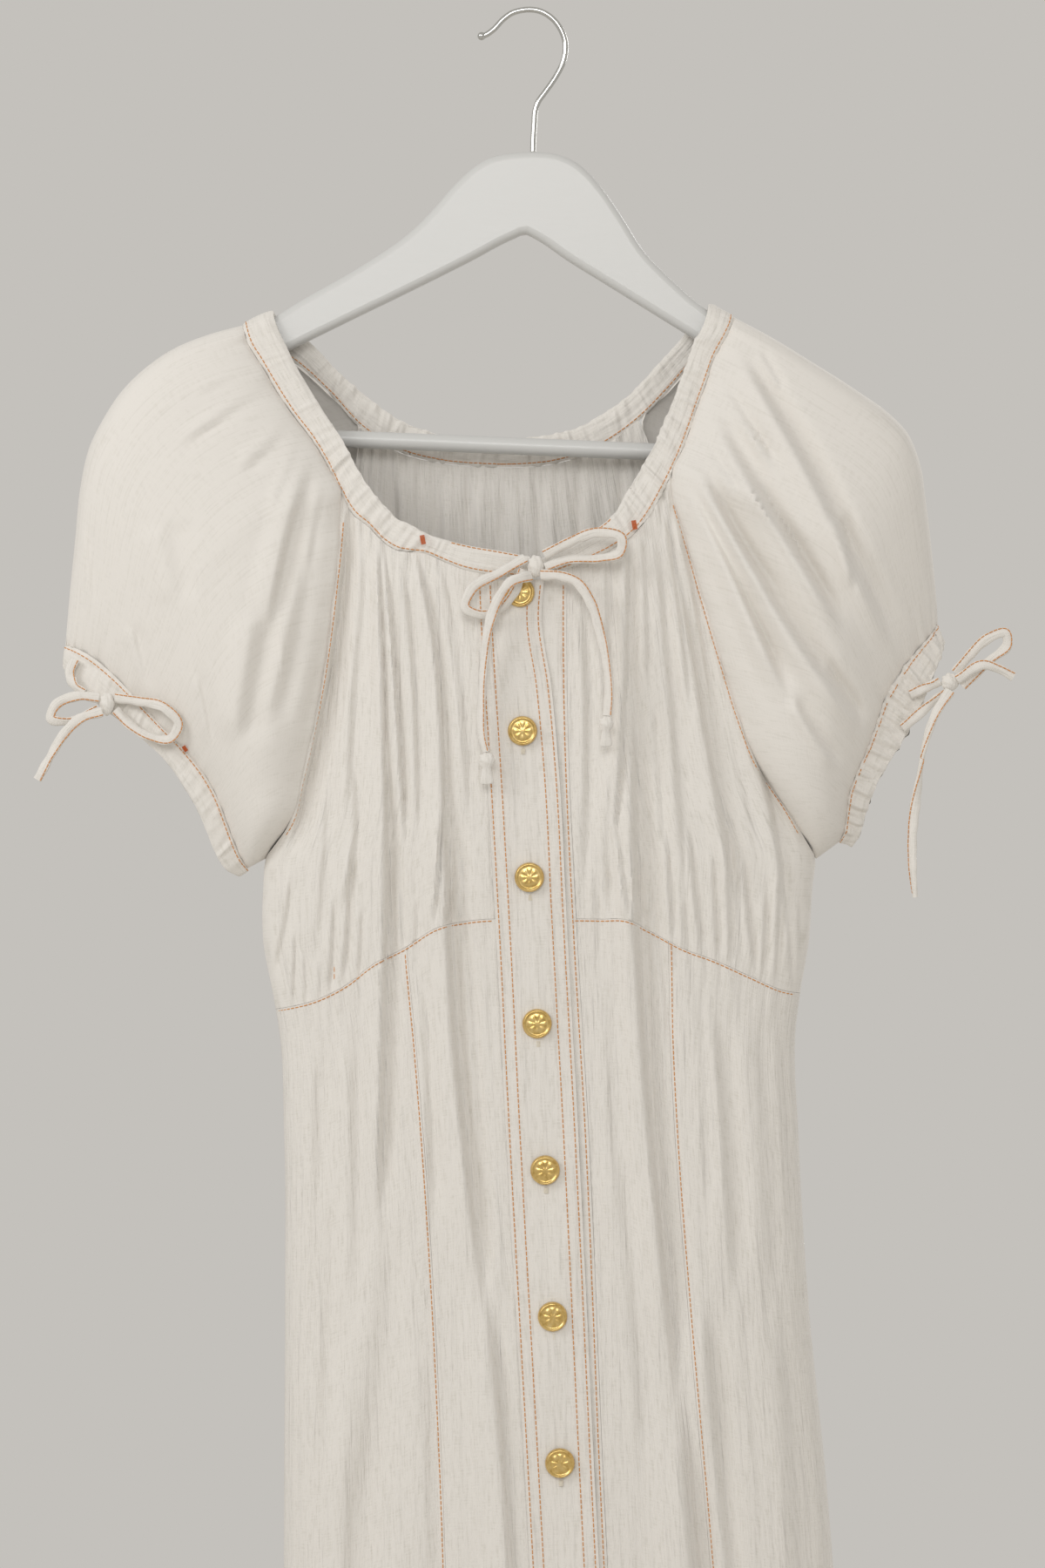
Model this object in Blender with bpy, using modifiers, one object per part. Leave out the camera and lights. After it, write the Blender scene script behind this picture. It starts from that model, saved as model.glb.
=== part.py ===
"""A midi dress of crinkled cotton gauze, hung on a painted wooden hanger.

The hanger's hook is at the origin: it holds the whole piece up. The dress is built from the
pieces a maker would cut: raglan sleeves, bodice, skirt panels, button bands, drawn-in neck and
cuffs, and their ties. Left and right are as seen from the front. Metres, +Z up, front at -Y.
"""

import math

import bmesh
import bpy
import numpy as np
from mathutils import Matrix, Vector

# Driving dimensions, in metres.
CLOTH = 0.0011  # wall of the cloth
SEAM = 0.00035  # how far a panel stays back from its seam line
EMPIRE_EDGE = 0.0005  # the same at the gathered waist seam
BAND_LIFT = 0.0016  # the button band lies this far out from the panels
BAND_COVER = 0.0060  # the button band covers this much of the left panels' edge
UNDER_START = 0.0075  # the under band starts this far in from the button band's left edge
BAND_ROWS = 40  # faces down a button band
NECK_TUBE = 0.0032  # thickness of the gathered neck casing
CUFF_TUBE = 0.0030  # thickness of the gathered cuff casing
CUFF_HALF_DEPTH = 0.018
SLEEVE_FRONT, SLEEVE_BACK = 0.026, 0.022  # how far a sleeve puffs out past its seams
BUTTON_RADIUS, BUTTON_THICK = 0.0085, 0.0036
BUTTON_GAP = 0.0003
TIE_RADIUS = 0.0028
WOOD_HALF, WOOD_ROUND = 0.006, 0.004  # the hanger board's half thickness, and its rounded edge
BAR_RADIUS = 0.005
WIRE_RADIUS = 0.0017

# The tables below give places on a front-view drawing: u to the right and v down, in half
# millimetres on the plane DRAWING_Y, as an eye in front of the dress sees them.
UNIT = 0.0005
EYE = (-0.006, -2.230, -0.4475)
EYE_U, EYE_V = 600.0, 900.0
DRAWING_Y = -0.030


def place(u, v, y):
    """The points in metres that lie behind the drawing's marks u, v at the depths y."""
    reach = UNIT * (np.asarray(y) - EYE[1]) / (DRAWING_Y - EYE[1])
    u, v, y, reach = np.broadcast_arrays(u, v, y, reach)
    return np.stack([EYE[0] + (u - EYE_U) * reach, y, EYE[2] - (v - EYE_V) * reach], axis=-1)


def curve(rows):
    """A smooth curve through rows of (station, value, ...), as a function of the station."""
    rows = np.array(rows, dtype=float)
    x, values = rows[:, 0], rows[:, 1:]
    slope = np.gradient(values, x, axis=0)

    def at(station):
        station = np.clip(np.asarray(station, dtype=float), x[0], x[-1])
        i = np.clip(np.searchsorted(x, station, side="right") - 1, 0, len(x) - 2)
        gap = x[i + 1] - x[i]
        f = ((station - x[i]) / gap)[..., None]
        gap = gap[..., None]
        return (
            (2 * f**3 - 3 * f**2 + 1) * values[i]
            + (f**3 - 2 * f**2 + f) * gap * slope[i]
            + (3 * f**2 - 2 * f**3) * values[i + 1]
            + (f**3 - f**2) * gap * slope[i + 1]
        )

    return at


def line(rows):
    """The same for rows of (station, value) with one value."""
    smooth = curve(rows)
    return lambda station: smooth(station)[..., 0]


def along(points):
    """A smooth path through points, as a function of the share 0..1 of its length."""
    points = np.array(points, dtype=float)
    steps = np.linalg.norm(np.diff(points, axis=0), axis=1)
    station = np.concatenate([[0.0], np.cumsum(steps)]) / steps.sum()
    return curve(np.column_stack([station, points]))


def ease(x):
    x = np.clip(x, 0.0, 1.0)
    return x * x * (3 - 2 * x)


# The body of the dress, level by level: v, left side u, middle u, right side u, and the depth
# of the front and the back there in millimetres. Above v 985 the sides are inside the sleeves.
BODY = curve([
    (480, 356, 581, 790, -30, 15),
    (584, 352, 587, 816, -33, 17),
    (676, 349, 592, 840, -38, 20),
    (787, 343, 597, 868, -40, 22),
    (895, 330, 603, 896, -41, 24),
    (940, 322, 605, 917, -41, 25),
    (985, 306, 607, 935, -40, 25),
    (1020, 303, 609, 932, -39, 25),
    (1080, 303, 612, 928, -37, 24),
    (1140, 314, 615, 918, -36, 24),
    (1180, 321, 617, 913, -36, 24),
    (1300, 327, 624, 916, -38, 26),
    (1500, 328, 634, 928, -43, 29),
    (1700, 327, 644, 948, -47, 32),
    (2000, 326, 660, 970, -52, 36),
    (2300, 323, 675, 992, -56, 40),
    (2600, 320, 690, 1012, -60, 44),
])
ROUND_U, ROUND_Y = 0.85, 0.70  # how square the body's cross-section is
HEM_Z = -1.290  # the hem is level, this far under the hook

# Seams of the front and back, as u at each v, or v at each u.
RAGLAN_FRONT_LEFT = line([(540, 391), (584, 391), (676, 383), (787, 368), (895, 345),
                          (950, 330), (985, 305)])
RAGLAN_FRONT_RIGHT = line([(520, 768), (545, 770), (640, 795), (770, 833), (830, 852),
                           (880, 872), (930, 905), (972, 929), (985, 937)])
RAGLAN_BACK_LEFT = line([(480, 414), (520, 410), (620, 396), (740, 376), (860, 350),
                         (950, 328), (985, 305)])
RAGLAN_BACK_RIGHT = line([(480, 740), (520, 748), (620, 776), (740, 814), (860, 862),
                          (950, 918), (985, 937)])
UNDERARM_V = 985.0
BAND_LEFT = line([(600, 544), (700, 548), (900, 560), (1060, 569), (1300, 581), (1700, 603),
                  (2600, 651)])
BAND_RIGHT = line([(600, 626), (663, 625), (707, 622), (788, 633), (887, 642), (1060, 651),
                   (1300, 664), (1700, 683), (2600, 730)])
UNDER_RIGHT = line([(600, 652), (663, 651), (827, 652), (1060, 662), (1300, 676), (1700, 693),
                    (2600, 740)])
PRINCESS_LEFT = line([(1050, 466), (1090, 468), (1200, 478), (1300, 486), (1400, 493),
                      (1600, 504), (2100, 520), (2600, 532)])
PRINCESS_RIGHT = line([(1050, 767), (1090, 768), (1200, 770), (1300, 775), (1500, 790),
                       (1750, 812), (2600, 880)])
EMPIRE_FRONT = line([(300, 1160), (318, 1158), (370, 1145), (400, 1129), (427, 1108),
                     (465, 1088), (500, 1066), (540, 1057), (610, 1055), (690, 1055),
                     (720, 1056), (745, 1068), (785, 1089), (820, 1102), (860, 1120),
                     (900, 1137), (930, 1141)])
EMPIRE_BACK = line([(300, 1160), (460, 1150), (620, 1146), (780, 1146), (930, 1141)])

# The gathered neck casing, section by section from the left of the front opening, over the
# left shoulder, round the back and over the right shoulder: the seam edge's u and v, the free
# edge's u and v, and the depth in millimetres.
NECK = [
    (608, 664, 609, 639, -39.3), (565, 660, 566, 631, -38), (533, 654, 537, 626, -36.5),
    (510, 645, 513, 620, -35), (486, 635, 487, 611, -33.5), (470, 634, 472, 602, -32),
    (456, 632, 458, 596, -31), (442, 624, 447, 586, -29.5), (421, 603, 428, 564, -27),
    (405, 590, 414, 543, -25), (392, 568, 404, 525, -23), (375, 533, 391, 501, -20),
    (359, 506, 378, 482, -17.5), (332, 471, 358, 450, -15), (311, 438, 340, 420, -13),
    (296, 413, 331, 402, -12), (284, 394, 321, 381, -10.5), (280, 381, 315, 365, -8.8),
    (279, 375, 314, 358, -5.4), (279, 374, 314, 357, 0), (279, 375, 314, 358, 5.4),
    (284, 382, 319, 365, 8.8), (299, 394, 331, 374, 9.8), (337, 416, 357, 394, 10.5),
    (378, 452, 392, 430, 12), (413, 491, 424, 457, 13), (455, 518, 456, 480, 14),
    (501, 531, 500, 497, 15), (545, 536, 544, 502, 16), (590, 537, 588, 503, 16.5),
    (635, 533, 630, 499, 16), (675, 521, 664, 490, 15), (703, 506, 690, 476, 14),
    (737, 480, 714, 460, 12.5), (765, 452, 741, 434, 11.5), (787, 427, 763, 410, 10.5),
    (822, 388, 796, 374, 9.8), (839, 372, 811, 358, 8.8), (842, 366, 813, 352, 5.4),
    (842, 365, 813, 351, 0), (842, 366, 813, 352, -5.4), (841, 372, 812, 358, -8.8),
    (835, 385, 807, 374, -10.5), (822, 409, 796, 394, -12), (811, 440, 785, 426, -13.5),
    (802, 465, 775, 453, -15),
    (793, 492, 764, 480, -17.5), (784, 516, 754, 504, -20), (772, 543, 738, 533, -23),
    (757, 573, 721, 562, -26), (743, 596, 706, 588, -29), (726, 615, 692, 602, -31.5),
    (702, 631, 672, 614, -34), (672, 645, 650, 628, -36.5), (622, 663, 622, 641, -39.3),
]
NECK_FRONT_LEFT, NECK_BACK_LEFT = 10, 25  # the sections where the raglan seams meet the neck
NECK_BACK_RIGHT, NECK_FRONT_RIGHT = 33, 48
NECK_LEFT_SHOULDER, NECK_RIGHT_SHOULDER = 19, 39

# The cuffs, from the sleeve's outer edge to the underarm: seam edge u, v and free edge u, v.
CUFF_LEFT = [
    (76, 740, 73, 768), (92, 746, 84, 782), (110, 757, 99, 797), (130, 774, 117, 812),
    (155, 800, 140, 830), (184, 831, 166, 851), (211, 859, 190, 874), (233, 886, 210, 902),
    (249, 914, 226, 929), (259, 940, 236, 952), (268, 965, 246, 977), (277, 986, 259, 998),
    (284, 996, 274, 1006),
]
CUFF_RIGHT = [
    (1076, 716, 1085, 738), (1068, 729, 1081, 754), (1055, 744, 1075, 770),
    (1041, 761, 1067, 789), (1028, 780, 1060, 807), (1015, 803, 1050, 825),
    (1007, 826, 1042, 843), (998, 852, 1029, 864), (985, 883, 1013, 890),
    (975, 911, 1001, 915), (972, 935, 994, 937), (969, 955, 988, 958), (963, 966, 979, 972),
]
OUTER_LEFT = [(279, 374.5), (240, 385), (200, 401), (165, 425), (140, 450), (120, 480),
              (104, 512), (93, 560), (87, 620), (81, 680), (76, 740)]
OUTER_RIGHT = [(842, 365), (880, 385), (930, 415), (985, 450), (1020, 475), (1041, 497),
               (1055, 530), (1063, 580), (1070, 640), (1075, 695), (1076, 716)]

# The folds that show from a step away. Each runs through three marks (u, v); its left side
# stands high, drops over `steep`, and comes back over `soft`, all in drawing units; `high` is
# the drop in millimetres.
FRONT_FOLDS = [
    # u1, v1, u2, v2, u3, v3, high, steep, soft
    (440, 850, 437, 1150, 430, 1430, 5.0, 9, 26),
    (430, 1390, 420, 1550, 402, 1740, 2.5, 24, 34),
    (503, 860, 516, 1180, 552, 1520, 6.5, 12, 34),
    (550, 1480, 580, 1760, 604, 2100, 8.0, 26, 44),
    (720, 740, 728, 1120, 775, 1650, 6.5, 13, 40),
    (770, 1600, 796, 1900, 830, 2420, 8.0, 28, 50),
    (812, 1140, 826, 1300, 838, 1500, 4.0, 12, 26),
    (800, 1480, 816, 1660, 840, 1900, 6.0, 14, 30),
    (836, 1860, 858, 2150, 886, 2600, 7.0, 30, 46),
    (392, 1500, 380, 1900, 372, 2600, 7.0, 34, 44),
    (448, 1750, 446, 2150, 452, 2600, 8.0, 34, 50),
    (604, 2050, 616, 2300, 628, 2600, 5.0, 26, 20),
    (748, 2000, 768, 2300, 790, 2600, 6.0, 30, 40),
    (936, 1950, 950, 2250, 962, 2600, 6.0, 26, 36),
    (774, 650, 806, 840, 846, 1070, 6.0, 11, 26),
    (833, 780, 880, 925, 902, 1080, 5.5, 9, 22),
    (477, 640, 496, 800, 504, 960, 4.0, 12, 22),
    (448, 640, 452, 800, 464, 1040, 3.0, 12, 16),
    (403, 640, 396, 820, 404, 1000, 3.0, 12, 22),
    (748, 620, 766, 820, 786, 1060, 2.5, 12, 18),
    (700, 860, 692, 950, 690, 1060, 2.5, 10, 16),
    (330, 1000, 322, 1060, 306, 1130, 2.5, 10, 16),
]
BACK_FOLDS = [
    (455, 540, 452, 640, 448, 800, 3.0, 12, 20),
    (505, 548, 504, 660, 500, 860, 3.5, 12, 22),
    (540, 550, 542, 640, 544, 780, 3.0, 12, 16),
    (579, 552, 580, 680, 582, 900, 3.5, 12, 18),
    (622, 548, 624, 640, 630, 820, 3.0, 12, 18),
    (662, 540, 672, 640, 684, 800, 3.5, 12, 20),
    (708, 530, 724, 640, 742, 820, 3.0, 12, 20),
    (420, 1160, 410, 1800, 404, 2600, 9.0, 40, 60),
    (520, 1160, 524, 1800, 530, 2600, 9.0, 44, 60),
    (640, 1160, 664, 1800, 690, 2600, 10.0, 44, 60),
    (740, 1160, 786, 1800, 832, 2600, 9.0, 44, 56),
    (840, 1160, 880, 1800, 930, 2600, 8.0, 36, 46),
]
SLEEVE_FOLDS = [
    (332, 480, 306, 508, 272, 536, 2.5, 10, 20),
    (358, 516, 334, 580, 302, 700, 5.0, 12, 30),
    (384, 570, 376, 660, 350, 800, 5.0, 12, 26),
    (310, 446, 262, 472, 205, 512, 2.0, 10, 18),
    (150, 725, 160, 765, 168, 795, 3.0, 10, 16),
    (290, 700, 276, 780, 262, 860, 3.5, 20, 30),
    (832, 400, 905, 512, 1016, 735, 4.5, 12, 28),
    (803, 470, 862, 560, 958, 712, 5.5, 12, 30),
    (788, 526, 874, 680, 984, 838, 6.5, 13, 30),
    (777, 552, 830, 645, 902, 800, 5.0, 13, 26),
]

# Buttons: the eleven down the front, the first at v 680.
BUTTON_V = [680] + [839 + 168.1 * i for i in range(10)]
BUTTON_U = line([(600, 590), (680, 597), (839, 600), (1010, 608), (1345, 626), (1680, 643),
                 (2600, 690)])

# The ties: each runs along marks (u, v, depth in millimetres).
TIES = {
    "neck_tie_loop_right": [(625, 637, -47), (650, 624, -49), (690, 611, -50), (714, 618, -51),
                            (712, 634, -49), (690, 641, -46), (650, 643, -45.5),
                            (625.6, 651, -46.5)],
    "neck_tie_loop_left": [(603, 641, -46.5), (575, 657, -49), (540, 679, -51),
                           (534, 697, -51), (550, 705, -50), (574, 699, -49),
                           (589, 682, -49), (600.5, 654, -47)],
    "neck_tie_tail_right": [(621.3, 659.8, -49.3), (644, 661, -53), (662, 668, -54),
                            (677, 689, -54), (688, 722, -53), (697, 764, -53), (699, 800, -53),
                            (697, 821.4, -53)],
    "neck_tie_tail_left": [(609, 661.5, -50.6), (600, 663, -54.5), (588, 667, -56.5),
                           (572, 688, -55.5), (561, 720, -55), (556, 760, -52), (553, 810, -52),
                           (554, 848, -52), (558, 863.2, -52)],
    "cuff_tie_left_lead": [(86, 757, -11.8), (80, 772, -13), (86, 787, -15.5),
                           (97, 796, -17.6)],
    "cuff_tie_left_loop_outer": [(113.6, 801, -22), (90, 799, -23.5), (62, 812, -24),
                                 (58, 824, -24), (78, 828, -23.5), (113.6, 814, -22)],
    "cuff_tie_left_loop_inner": [(132.6, 801, -22), (160, 805, -26), (188, 812, -32),
                                 (205, 831, -31), (196, 848, -28), (170, 845, -25),
                                 (150, 833, -23), (132.4, 815, -22)],
    "cuff_tie_left_tail": [(117, 817, -27.4), (92, 825, -29.8), (74, 842, -29), (58, 868, -27),
                           (43, 895, -26)],
    "cuff_tie_right_lead_upper": [(1045, 797, -21.4), (1062, 790, -21.8), (1079.6, 782, -22)],
    "cuff_tie_right_lead_lower": [(1036, 836, -23), (1055, 820, -22), (1072, 805, -20.5),
                                  (1086, 795.5, -19.5)],
    "cuff_tie_right_loop": [(1097, 772, -22), (1112, 754, -24), (1136, 732, -26),
                            (1155, 727, -27), (1157, 739, -26), (1138, 757, -24),
                            (1105, 788, -22)],
    "cuff_tie_right_tail_short": [(1099, 780, -26.9), (1130, 763, -30.5), (1148, 768, -30),
                                  (1164, 777, -30)],
    "cuff_tie_right_tail_long": [(1091, 793, -26.2), (1075, 818, -29), (1063, 851, -29),
                                 (1055, 897, -28), (1049, 942, -28), (1048, 988, -28),
                                 (1051, 1030, -28)],
}
# The knots: u, v, depth in millimetres, and half sizes across, along the depth and up.
KNOTS = {
    "neck_tie_knot": (615, 650, -45.2, 4.8, 3.6, 6.0),
    "neck_tie_end_right": (696, 831, -53, 4.0, 3.2, 4.4),
    "neck_tie_end_left": (559, 873, -52, 4.4, 3.2, 4.6),
    "cuff_tie_left_knot": (123, 808, -22, 4.2, 4.0, 6.4),
    "cuff_tie_right_knot": (1091, 783, -22, 5.0, 4.0, 5.0),
}

# The hanger: the board's outline, the hook wire's middle line, and the ends of the bar.
WOOD = [
    (612, 175), (585, 177), (560, 183), (540, 196), (520, 215), (500, 238), (480, 259),
    (460, 276), (440, 290), (400, 315), (345, 346), (316, 364), (279, 383.5), (240, 403),
    (205, 418), (183, 430), (170, 443), (163, 462), (161, 488), (164, 504), (174, 513),
    (188, 514), (198, 508), (200, 498), (200, 482), (208, 468), (240, 449), (331, 403),
    (400, 369), (470, 335), (540, 300), (590, 274), (603, 269), (616, 275), (650, 298),
    (700, 329), (750, 360), (800, 391), (850, 422), (900, 453), (960, 491), (990, 508),
    (1003, 518), (1003, 530), (1004, 541), (1012, 549), (1026, 549), (1036, 540), (1038, 526),
    (1033, 508), (1021, 491), (1005, 475), (985, 463), (930, 429), (880, 399), (842, 376),
    (808, 354), (770, 321), (740, 290), (715, 251), (690, 215), (675, 198), (658, 185),
    (636, 177),
]
HOOK = [
    (552, 42), (558, 40), (566, 34.5), (578, 22), (588, 15), (598, 12), (607, 11), (617, 12),
    (627, 16), (637, 24), (645, 36), (649, 48), (649, 61), (646, 73), (640, 85), (633, 96),
    (625, 107), (618, 117), (614.5, 128), (613.5, 142), (612.5, 158), (612, 174),
]
BAR_START, BAR_END = (201.3, 496), (1001.7, 529)


def fold_height(u, v, table):
    """How far a point of the cloth stands out of its smooth form, in metres."""
    u, v = np.broadcast_arrays(np.asarray(u, float), np.asarray(v, float))
    out = np.zeros(u.shape)
    for u1, v1, u2, v2, u3, v3, high, steep, soft in table:
        path = along([(u1, v1), (u2, v2), (u3, v3)])(np.linspace(0, 1, 9))
        best = np.full(u.shape, np.inf)
        side = np.zeros(u.shape)
        share = np.zeros(u.shape)
        for i, (a, b) in enumerate(zip(path[:-1], path[1:])):
            step = b - a
            f = np.clip(((u - a[0]) * step[0] + (v - a[1]) * step[1]) / (step @ step), 0, 1)
            du, dv = u - a[0] - f * step[0], v - a[1] - f * step[1]
            distance = np.hypot(du, dv)
            near = distance < best
            turn = np.sign(du * step[1] - dv * step[0])
            best = np.where(near, distance, best)
            side = np.where(near, turn, side)
            share = np.where(near, (i + f) / 8.0, share)
        d = best * np.where(side == 0, 1, side)
        shape = np.where(
            d < 0,
            0.5 * ease(1 + d / soft),
            np.where(d < steep, 0.5 - ease(d / steep), -0.5 * ease(1 - (d - steep) / soft)),
        )
        out += 0.001 * high * shape * ease(share / 0.2) * ease((1 - share) / 0.25)
    return out


def across(v, u):
    """The angle round the body, from -90 degrees at the left side to 90 at the right, at u."""
    left, middle, right = np.moveaxis(BODY(v)[..., :3], -1, 0)
    half = np.where(u < middle, middle - left, right - middle)
    k = np.clip((u - middle) / half, -1, 1)
    return np.sign(k) * np.arcsin(np.abs(k) ** (1 / ROUND_U))


def body_mark(angle, v):
    """The drawing's u at an angle round the body."""
    left, middle, right = np.moveaxis(BODY(v)[..., :3], -1, 0)
    half = np.where(angle < 0, middle - left, right - middle)
    return middle + half * np.sign(angle) * np.abs(np.sin(angle)) ** ROUND_U


def body_depth(u, v, face, lift=0.0):
    """The depth y of the body's front or back at u, v, its folds included."""
    section = BODY(v)
    angle = across(v, u)
    deep = section[..., 3] if face == "front" else section[..., 4]
    flat = np.cos(angle) ** ROUND_Y
    table = FRONT_FOLDS if face == "front" else BACK_FOLDS
    calm = ease((np.pi / 2 - np.abs(angle)) / 0.35)
    if face == "front":  # the button bands stay flat
        calm = calm * ease(np.maximum(BAND_LEFT(v) - 8 - u, u - UNDER_RIGHT(v) + 4) / 24)
    out = calm * fold_height(u, v, table) + lift
    sign = -1 if face == "front" else 1
    return 0.001 * deep * flat + sign * (SEAM + out)


def hem_mark(u, v, face):
    """v of the hem at each u: perspective puts a level hem lower on the drawing at the front."""
    depth = body_depth(u[-1:], v[-1:], face)
    return EYE_V + (EYE[2] - HEM_Z) / (UNIT * (depth - EYE[1]) / (DRAWING_Y - EYE[1])) + 0 * u


def panel(left, right, top, bottom, columns, rows, face, lift=0.0):
    """A grid of points on the body between two seams u(v) and two seams v(u), or the hem."""
    s = np.linspace(0, 1, columns + 1)[None, :]
    t = np.linspace(0, 1, rows + 1)[:, None]
    v = 600.0 + 1400.0 * t + 0 * s
    for _ in range(8):
        start, end = across(v, left(v)), across(v, right(v))
        u = body_mark(start + (end - start) * s, v)
        last = bottom(u) if bottom else hem_mark(u, v, face)
        v = top(u) + (last - top(u)) * t
    return place(u, v, body_depth(u, v, face, lift))


def inset(seam, distance):
    """A seam moved by a distance in metres along the drawing."""
    return lambda station: seam(station) + distance / UNIT


dress = bpy.data.collections.new("midi_dress_on_hanger")


def material(name, colour, roughness, metallic=0.0):
    made = bpy.data.materials.new(name)
    made.use_nodes = True
    shader = made.node_tree.nodes["Principled BSDF"]
    shader.inputs["Base Color"].default_value = (*colour, 1.0)
    shader.inputs["Roughness"].default_value = roughness
    shader.inputs["Metallic"].default_value = metallic
    return made


def keep(made, finish):
    """Takes an object into the dress's collection, with its material."""
    for holder in made.users_collection:
        holder.objects.unlink(made)
    dress.objects.link(made)
    made.data.materials.clear()
    made.data.materials.append(finish)
    return made


def grid_object(name, points, finish, wrap=False, caps=False, wall=0.0):
    """A grid bent to the points; `wrap` joins its first and last columns, `caps` closes it."""
    rows, columns = points.shape[:2]
    work = bmesh.new()
    bmesh.ops.create_grid(work, x_segments=columns - 1, y_segments=rows - 1, size=1.0)
    for vertex, point in zip(work.verts, points.reshape(-1, 3)):
        vertex.co = point
    if wrap:
        bmesh.ops.remove_doubles(work, verts=work.verts, dist=1e-6)
    if caps:
        bmesh.ops.holes_fill(work, edges=work.edges)
    bmesh.ops.recalc_face_normals(work, faces=work.faces)
    mesh = bpy.data.meshes.new(name)
    work.to_mesh(mesh)
    work.free()
    mesh.shade_smooth()
    made = keep(bpy.data.objects.new(name, mesh), finish)
    if wall:
        shell = made.modifiers.new("wall", "SOLIDIFY")
        shell.thickness = wall
        shell.offset = 0.0
    return made


for old in list(bpy.data.objects):
    bpy.data.objects.remove(old, do_unlink=True)
bpy.context.scene.collection.children.link(dress)

IVORY = material("ivory_gauze", (0.80, 0.75, 0.67), 0.9)
CASING = material("ivory_gauze_gathered", (0.78, 0.73, 0.65), 0.9)
GOLD = material("brass_button", (0.75, 0.52, 0.17), 0.32, 1.0)
WHITE = material("white_painted_wood", (0.72, 0.72, 0.70), 0.35)
CHROME = material("chrome_wire", (0.62, 0.62, 0.62), 0.18, 1.0)


# Bodice: two fronts under the neck casing, from the raglan seams to the button bands, and a
# back in one piece.
NECK_EDGE = 0.0008  # the panels stop this far below the casing


def neck_seam(first, last):
    """v of the neck seam at each u, between two of its sections."""
    rows = sorted((row[0], row[1]) for row in NECK[first:last + 1])
    return line(rows)


def left_side(v):
    return BODY(v)[..., 0]


def right_side(v):
    return BODY(v)[..., 2]


def side_edge(raglan, side, inward):
    """A bodice piece's side: held in from the raglan seam to the underarm, then the side seam."""
    return lambda v: np.where(v < UNDERARM_V, raglan(v) + inward / UNIT, side(v))


WAIST_FRONT = inset(EMPIRE_FRONT, -EMPIRE_EDGE)
WAIST_BACK = inset(EMPIRE_BACK, -EMPIRE_EDGE)
FRONT_GRID, BACK_GRID = (12, 15), (20, 12)  # faces across and down
grid_object("bodice_front_left", panel(
    side_edge(RAGLAN_FRONT_LEFT, left_side, SEAM), inset(BAND_LEFT, BAND_COVER),
    inset(neck_seam(0, NECK_FRONT_LEFT), NECK_EDGE), WAIST_FRONT, *FRONT_GRID, "front"),
    IVORY, wall=CLOTH)
grid_object("bodice_front_right", panel(
    inset(UNDER_RIGHT, SEAM), side_edge(RAGLAN_FRONT_RIGHT, right_side, -SEAM),
    inset(neck_seam(NECK_FRONT_RIGHT, len(NECK) - 1), NECK_EDGE), WAIST_FRONT, *FRONT_GRID,
    "front"), IVORY, wall=CLOTH)
grid_object("bodice_back", panel(
    side_edge(RAGLAN_BACK_LEFT, left_side, SEAM),
    side_edge(RAGLAN_BACK_RIGHT, right_side, -SEAM),
    inset(neck_seam(NECK_BACK_LEFT, NECK_BACK_RIGHT), NECK_EDGE), WAIST_BACK, *BACK_GRID,
    "back"), IVORY, wall=CLOTH)

# Skirt: a side front and a front each side of the button bands, and a back.
for name, left, right, columns in (
    ("skirt_side_front_left", left_side, inset(PRINCESS_LEFT, -SEAM), 10),
    ("skirt_front_left", inset(PRINCESS_LEFT, SEAM), inset(BAND_LEFT, BAND_COVER), 7),
    ("skirt_front_right", inset(UNDER_RIGHT, SEAM), inset(PRINCESS_RIGHT, -SEAM), 7),
    ("skirt_side_front_right", inset(PRINCESS_RIGHT, SEAM), right_side, 10),
):
    grid_object(name, panel(left, right, inset(EMPIRE_FRONT, EMPIRE_EDGE), None, columns, 15,
                            "front"), IVORY, wall=CLOTH)
grid_object("skirt_back", panel(left_side, right_side, inset(EMPIRE_BACK, EMPIRE_EDGE), None,
                                24, 12, "back"), IVORY, wall=CLOTH)

# Button bands: the upper one lies on the left panels and on the under band.
BAND_TOP_V = 665.5


def band_top(u):
    return BAND_TOP_V + 0 * u


grid_object("button_band_top", panel(
    BAND_LEFT, BAND_RIGHT, band_top, None, 2, BAND_ROWS, "front", BAND_LIFT), IVORY, wall=CLOTH)
grid_object("button_band_under", panel(
    inset(BAND_LEFT, UNDER_START), inset(UNDER_RIGHT, -SEAM), band_top, None, 2, BAND_ROWS,
    "front"),
    IVORY, wall=CLOTH)

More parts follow.
